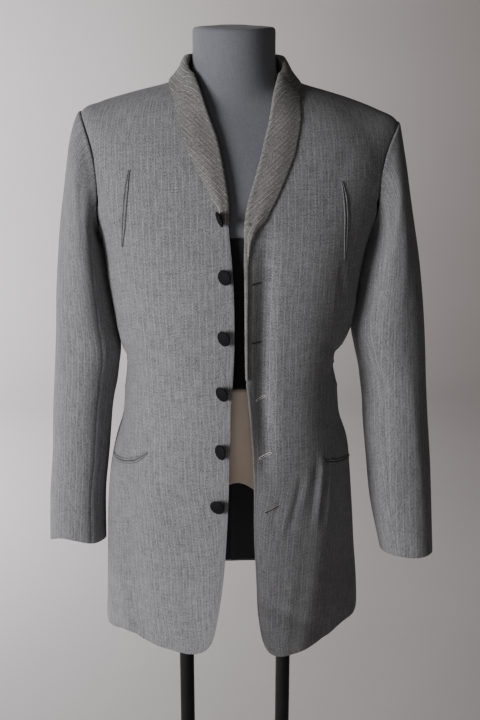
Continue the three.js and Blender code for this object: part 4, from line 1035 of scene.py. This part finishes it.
# ---------- sewing ----------
# A stitch is a bar of six sides: places along its length and how thick it is there.
STITCH_SIDES, STITCH_RINGS = 6, ((-0.5, 0.35), (-0.36, 0.9), (0, 1.0), (0.36, 0.9), (0.5, 0.35))
STITCH_SINK = 1.6                      # radii that its ends dive into the cloth at full length
PICK_INSET, PICK_LENGTH, PICK_RADIUS, PICK_OFF = 3.4, 1.5, 0.2, 0.05
PICK_RINGS, PICK_COUNT = (8.4, 1.0), 120
PURL_LENGTH, PURL_RADIUS = 1.25, 0.3   # the stitches round a buttonhole
SLIT_HALF, EYE_HALF, EYE_PLACE = 0.5, 0.6, 0.06


def stitches(name, rows, length, radius):
    """Short rounded stitches joined into one mesh; a row gives a middle, a direction and a normal."""
    turns = np.linspace(0, 2 * np.pi, STITCH_SIDES, endpoint=False)
    points, faces = [], []
    for centre, along, normal in rows:
        side_way = unit(np.cross(normal, along))
        first = len(points)
        for t, thick in STITCH_RINGS:
            sink = normal * (-radius * STITCH_SINK * abs(t))
            for a in turns:
                spoke = side_way * math.cos(a) + normal * math.sin(a)
                points.append(centre + along * (length * t) + sink + spoke * radius * thick)
        last = len(points) - STITCH_SIDES
        for ring in range(first, last, STITCH_SIDES):
            for i in range(STITCH_SIDES):
                a, b = ring + i, ring + (i + 1) % STITCH_SIDES
                faces.append((a, b, b + STITCH_SIDES, a + STITCH_SIDES))
        faces.append(tuple(range(first, first + STITCH_SIDES))[::-1])
        faces.append(tuple(range(last, last + STITCH_SIDES)))
    return link(name, mesh_from(name, points, faces))


def edge_stitching(side):
    """Small pick stitches down the front, close to its edge."""
    ring = np.linspace(*PICK_RINGS, PICK_COUNT)
    place, normal, along, _ = line_on_body(side, ring, front_edge(side, ring, PICK_INSET), PICK_OFF)
    rows = zip(place, along, normal)
    piece = stitches(f"edge_stitching_{hand(side)}", rows, PICK_LENGTH, PICK_RADIUS)
    return wear(piece, GREY_THREAD, [])


def buttonhole(index, row):
    """A slit with a dark opening, ringed by close whip stitches, with an eyelet end by the edge; the opening
    is a strip of black lining cloth laid on the front, painted shade in the cut.
    """
    t = np.linspace(0, 1, 34)
    ring, phi = lerp(row["ring0"], row["ring1"], t), lerp(row["phi0"], row["phi1"], t)
    place, normal, along, over = line_on_body(1, ring, phi)
    half = SLIT_HALF * np.sqrt(np.clip(1 - (2 * t - 1) ** 8, 0, 1))
    half = half + EYE_HALF * np.exp(-((t - EYE_PLACE) / EYE_PLACE) ** 2)
    flat = place[:, None] + over[:, None] * (half[:, None] * np.linspace(-1, 1, 5))[..., None]
    outer, inner = (flat + normal[:, None] * h for h in (LAID_GAP + 0.35, LAID_GAP - 0.1))
    uv = np.stack([arc_along(flat, 1), arc_along(flat, 0)], -1)
    # Painted shade: the slit is a black strip on the cloth where the cut's opening lies in shade.
    slit = cloth_wall(f"buttonhole_{index}_slit", outer, inner, uv, 0.1)
    out, raised = (half + PURL_LENGTH / 2)[:, None], place + normal * LAID_GAP
    rows = []
    for sign in (-1, 1):
        rows += zip(raised + over * sign * out, over, normal)
    for i, way in ((0, -1), (-1, 1)):
        for a in np.radians(np.linspace(-60, 60, 7)):
            spoke = along[i] * way * math.cos(a) + over[i] * math.sin(a)
            rows.append((raised[i] + spoke * out[i], spoke, normal[i]))
    purl = stitches(f"buttonhole_{index}_stitches", rows, PURL_LENGTH, PURL_RADIUS)
    silk = PALE_THREAD if row["pale"] > 0.7 else WORN_THREAD if row["pale"] > 0 else GREY_THREAD
    return [wear(slit, LINING, []), wear(purl, silk, [])]


# ---------- buttons ----------
BUTTON_RADIUS, BUTTON_THICK, BUTTON_CHAMFER, BUTTON_EDGE = 11.2, 2.6, 2.2, 1.3
BUTTON_CROWN = ((0.8, 0.7), (1.4, 0.75), (2.2, 0.6), (2.6, 0.35), (2.0, 0.15), (0.9, 0.04))


def round_off(piece):
    """Two rounds of subdivision, shaded smooth."""
    rounding = piece.modifiers.new("round", "SUBSURF")
    rounding.levels = rounding.render_levels = 2
    finish_modifiers(piece)
    piece.data.polygons.foreach_set("use_smooth", [True] * len(piece.data.polygons))


def select_faces(mesh, wanted):
    """In object mode: selects the faces whose normal passes a test, and nothing else."""
    mesh.vertices.foreach_set("select", [False] * len(mesh.vertices))
    mesh.edges.foreach_set("select", [False] * len(mesh.edges))
    for face in mesh.polygons:
        face.select = wanted(face.normal)


def inset_faces(*steps):
    """Insets the selected faces again and again, each time so far in and so far up."""
    for inward, up in steps:
        edit(lambda: bpy.ops.mesh.inset(thickness=inward * MM, depth=up * MM))


def button_blank():
    """A cloth-covered button lying on its back: low dome, rounded rim and puckered underside."""
    bpy.ops.object.select_all(action="DESELECT")
    radius = BUTTON_RADIUS * MM
    bpy.ops.mesh.primitive_cylinder_add(vertices=48, radius=radius, depth=BUTTON_THICK * MM,
                                        location=(0, 0, BUTTON_THICK / 2 * MM))
    blank = bpy.context.active_object
    bpy.ops.object.transform_apply(location=True, rotation=True, scale=True)
    mesh = blank.data
    select_faces(mesh, lambda normal: normal.z > 0.9)
    inset_faces(*BUTTON_CROWN)
    select_faces(mesh, lambda normal: normal.z < -0.9)
    inset_faces((BUTTON_CHAMFER, 0.0), (1.5, -0.3))
    for vertex in mesh.vertices:
        if vertex.co.z < 0.2 * MM and Vector(vertex.co.xy).length > radius * 0.95:
            vertex.co.z = BUTTON_EDGE * MM
    round_off(blank)
    for vertex in mesh.vertices:
        x, y, z = vertex.co
        turn = math.atan2(y, x)
        edge = math.hypot(x, y) / radius
        vertex.co.z += 0.10 * MM * math.sin(11 * turn) * edge ** 6
        vertex.co.xy *= 1 + 0.008 * math.sin(17 * turn + 1) * edge ** 4
    return blank


def sew_button(index, row, blank):
    """A button tipped on its thread, its lowest point just off the right front."""
    ring = np.array(float(np.interp(row["z"], BODY.column("fR"), np.arange(NECK + 1))))
    for _ in range(6):
        ring = ring_at_height(-1, np.array(row["z"]), float(phi_of_u(-1, ring, row["u"])))
    phi = phi_of_u(-1, ring, row["u"])
    place, normal = body_point(-1, ring, phi, creased=False), body_normal(-1, ring, phi)
    slope, below = math.radians(row["tilt"]), math.radians(row["drop"])
    aside = np.array((-math.cos(below), 0, -math.sin(below)))
    facing = unit(normal * math.cos(slope) + aside * math.sin(slope))
    drop = max(BUTTON_RADIUS * math.sin(slope) - BUTTON_EDGE * math.cos(slope),
               (BUTTON_RADIUS - BUTTON_CHAMFER) * math.sin(slope))
    seat = place + normal * (LAID_GAP + drop + 0.2)
    piece = link(f"covered_button_{index}", blank.data.copy())
    turn = Vector((0, 0, 1)).rotation_difference(Vector(facing)).to_matrix().to_4x4()
    piece.data.transform(Matrix.Translation(Vector(seat * MM)) @ turn)
    return wear(piece, BUTTON_CLOTH, [f"button_{index}"])


# ---------- dress form and stand ----------
MERGE, RIM_NEAR, RIM_CREASE = 0.00002, 0.0006, 0.85   # metres, metres and a share


def smooth_section(node, material):
    """A rounded copy of one section of the form, with its rims kept crisp."""
    piece = link(f"{node}_shape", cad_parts[node].data.copy())
    only(piece)
    flat, square = math.radians(40), math.radians(60)
    edit(lambda: bpy.ops.mesh.select_all(action="SELECT"),
         lambda: bpy.ops.mesh.remove_doubles(threshold=MERGE),
         lambda: bpy.ops.mesh.tris_convert_to_quads(face_threshold=flat, shape_threshold=square),
         lambda: bpy.ops.mesh.select_all(action="DESELECT"))
    heights = [vertex.co.z for vertex in piece.data.vertices]
    rims = [max(heights)] + ([min(heights)] if node != "form_hip" else [])
    for edge in piece.data.edges:
        edge.select = any(all(abs(heights[i] - rim) < RIM_NEAR for i in edge.vertices) for rim in rims)
    edit(lambda: bpy.ops.transform.edge_crease(value=RIM_CREASE), by="EDGE")
    round_off(piece)
    return wear(piece, material, [node])


# Sizes of the stand, in metres.
BASE_WIDTH, BASE_DEPTH, BASE_THICK, BASE_CORNER = 0.460, 0.360, 0.006, 0.040
LEG_BOTTOM, POST_SPREAD, POST_RADIUS, TOUCH = 0.845, 0.080, 0.0118, 0.0003


def shade_by_angle(piece):
    only(piece)
    bpy.ops.object.shade_smooth_by_angle(angle=math.radians(35))


def turned_piece(name, radius, low, high, x, rounding):
    """A round bar or disc standing on its own axis, its edges rounded."""
    bpy.ops.object.select_all(action="DESELECT")
    bpy.ops.mesh.primitive_cylinder_add(vertices=56, radius=radius, depth=high - low,
                                        location=(x, 0, (low + high) / 2))
    piece = bpy.context.active_object
    piece.name = name
    bpy.ops.object.transform_apply(location=True, rotation=True, scale=True)
    select_faces(piece.data, lambda normal: abs(normal.z) > 0.9)
    edit(lambda: bpy.ops.mesh.bevel(offset=rounding, segments=3, affect="EDGES"))
    return piece


def post(side):
    """Steel tube with a foot flange, a collar and a top flange."""
    foot, top = BASE_THICK + TOUCH, LEG_BOTTOM - TOUCH
    sizes = [("flange", 0.034, foot, foot + 0.006, 0.0016),
             ("collar", 0.016, foot + 0.006, foot + 0.035, 0.0012),
             ("tube", POST_RADIUS, foot + 0.034, top - 0.0045, 0.0004),
             ("head", 0.022, top - 0.005, top, 0.001)]
    piece, *others = (turned_piece(f"{name}_{hand(side)}", radius, low, high, side * POST_SPREAD, rounding)
                      for name, radius, low, high, rounding in sizes)
    only(piece)
    for other in others:
        other.select_set(True)
    bpy.ops.object.join()
    piece.name = f"stand_post_{hand(side)}"
    shade_by_angle(piece)
    return wear(piece, STEEL, [f"post_{hand(side)}"])


def base():
    """Flat steel plate with rounded corners and a broken top edge."""
    bpy.ops.object.select_all(action="DESELECT")
    bpy.ops.mesh.primitive_cube_add(size=1, location=(0, 0, BASE_THICK / 2),
                                    scale=(BASE_WIDTH, BASE_DEPTH, BASE_THICK))
    piece = bpy.context.active_object
    piece.name = "stand_base"
    bpy.ops.object.transform_apply(location=True, rotation=True, scale=True)
    mesh = piece.data
    select_faces(mesh, lambda normal: False)
    for edge in mesh.edges:
        a, b = (mesh.vertices[i].co for i in edge.vertices)
        edge.select = abs(a.z - b.z) > BASE_THICK / 2
    edit(lambda: bpy.ops.mesh.bevel(offset=BASE_CORNER, segments=12, affect="EDGES"), by="EDGE")
    select_faces(mesh, lambda normal: normal.z > 0.9)
    edit(lambda: bpy.ops.mesh.bevel(offset=0.0014, segments=3, affect="EDGES"))
    shade_by_angle(piece)
    return wear(piece, STEEL, ["base_plate"])


# ---------- camera, light and floor ----------
LENS, SENSOR = 53.4, 36.0              # millimetres
CAMERA_PLACE = (-0.1004, -1.5568, 1.558)   # metres
CAMERA_TURN = (73, 0, -4)              # degrees
ROOM_TONE, ROOM_STRENGTH = (0.86, 0.84, 0.85, 1), 0.07
LIGHTS = {
    "window": dict(place=(-2.2, -1.65, 1.5), target=(0, 0, 1.15), size=1.3, power=110,
                   colour=(1.0, 0.985, 0.985)),
    "fill": dict(place=(-0.3, -2.4, 1.3), target=(0, 0, 1.05), size=1.2, power=7,
                 colour=(1.0, 0.94, 0.90)),
    "wall_glow": dict(place=(-2.4, 1.6, 1.2), target=(-0.8, 3.3, 0.2), size=1.4, power=200,
                      colour=(1.0, 0.985, 0.99)),
}


def camera():
    data = bpy.data.cameras.new("camera")
    data.lens, data.sensor_width = LENS, SENSOR
    item = link("camera", data)
    item.location = CAMERA_PLACE
    item.rotation_euler = [math.radians(turn) for turn in CAMERA_TURN]
    bpy.context.scene.camera = item


def area_light(name, place, target, size, power, colour):
    data = bpy.data.lights.new(name, "AREA")
    data.shape, data.size, data.energy, data.color = "DISK", size, power, colour
    lamp = link(name, data)
    lamp.location = place
    lamp.rotation_euler = (Vector(target) - Vector(place)).to_track_quat("-Z", "Y").to_euler()


# A pale floor that turns up into a wall, in metres; its colour darkens towards +x as painted shade.
SWEEP_WIDE, SWEEP_BACK, SWEEP_TURN, SWEEP_HIGH = 7.0, 4.2, 1.3, 6.0


def studio():
    """Dim room light, three lamps and the floor, whose colour carries painted shade that darkens it towards
    +x.
    """
    world = bpy.data.worlds.new("studio")
    bpy.context.scene.world = world
    world.use_nodes = True
    background = world.node_tree.nodes["Background"]
    background.inputs["Color"].default_value = ROOM_TONE
    background.inputs["Strength"].default_value = ROOM_STRENGTH
    for name, light in LIGHTS.items():
        area_light(name, **light)
    shader = Shader("pale_sweep")
    place = shader.place()
    # Painted shade: the sweep's colour goes from pale at the left to dark at the right, a light falloff laid
    # into the colour.
    side_way = shader.span(shader.plus(shader.x_of(place), shader.noise(place, 1.2, 3.0)), -1.2, 3.0)
    colour = shader.mix(side_way, (0.50, 0.488, 0.495), (0.27, 0.235, 0.22))
    weave = shader.times(shader.noise(place, (60, 60, 60)), 0.12)
    colour = shader.mix(weave, colour, (0.42, 0.40, 0.39))
    turn = np.radians(np.linspace(-90, 0, 17))
    curve = np.stack([SWEEP_BACK - SWEEP_TURN + SWEEP_TURN * np.cos(turn),
                      SWEEP_TURN + SWEEP_TURN * np.sin(turn)], 1)
    profile = np.concatenate([[[-SWEEP_WIDE, 0]], curve, [[SWEEP_BACK, SWEEP_HIGH]]])
    points = [(x, y, z) for y, z in profile for x in (-SWEEP_WIDE, SWEEP_WIDE)]
    sweep = link("floor", mesh_from("floor", np.array(points) / MM, grid_faces(len(profile), 2)))
    sweep.data.materials.append(shader.finish(colour, 0.9))


# ---------- making the blazer ----------
camera()
studio()

for hand_side in (-1, 1):
    front = body_panel(hand_side, True)
    back = body_panel(hand_side, False)
    lined = back_lining(hand_side)
    upper = sleeve_panel(hand_side, True)
    under = sleeve_panel(hand_side, False)
    roll, on_roll = collar(hand_side)
    on_front = pocket(hand_side, "chest", ("jet_in", "jet_out"), (1, -1))
    on_front += pocket(hand_side, "hip", ("jet_top", "jet_low"), (hand_side, -hand_side))
    on_front.append(edge_stitching(hand_side))
    if hand_side > 0:
        for number, row in enumerate(BUTTONHOLES.each(), 2):
            on_front += buttonhole(number, row)
    post(hand_side)

blank = button_blank()
for number, row in enumerate(BUTTONS.each(), 1):
    sew_button(number, row, blank)
bpy.data.objects.remove(blank)

smooth_section("form_chest", GREY_JERSEY)
smooth_section("form_waist", BLACK_JERSEY)
smooth_section("form_hip", SHELL)
base()
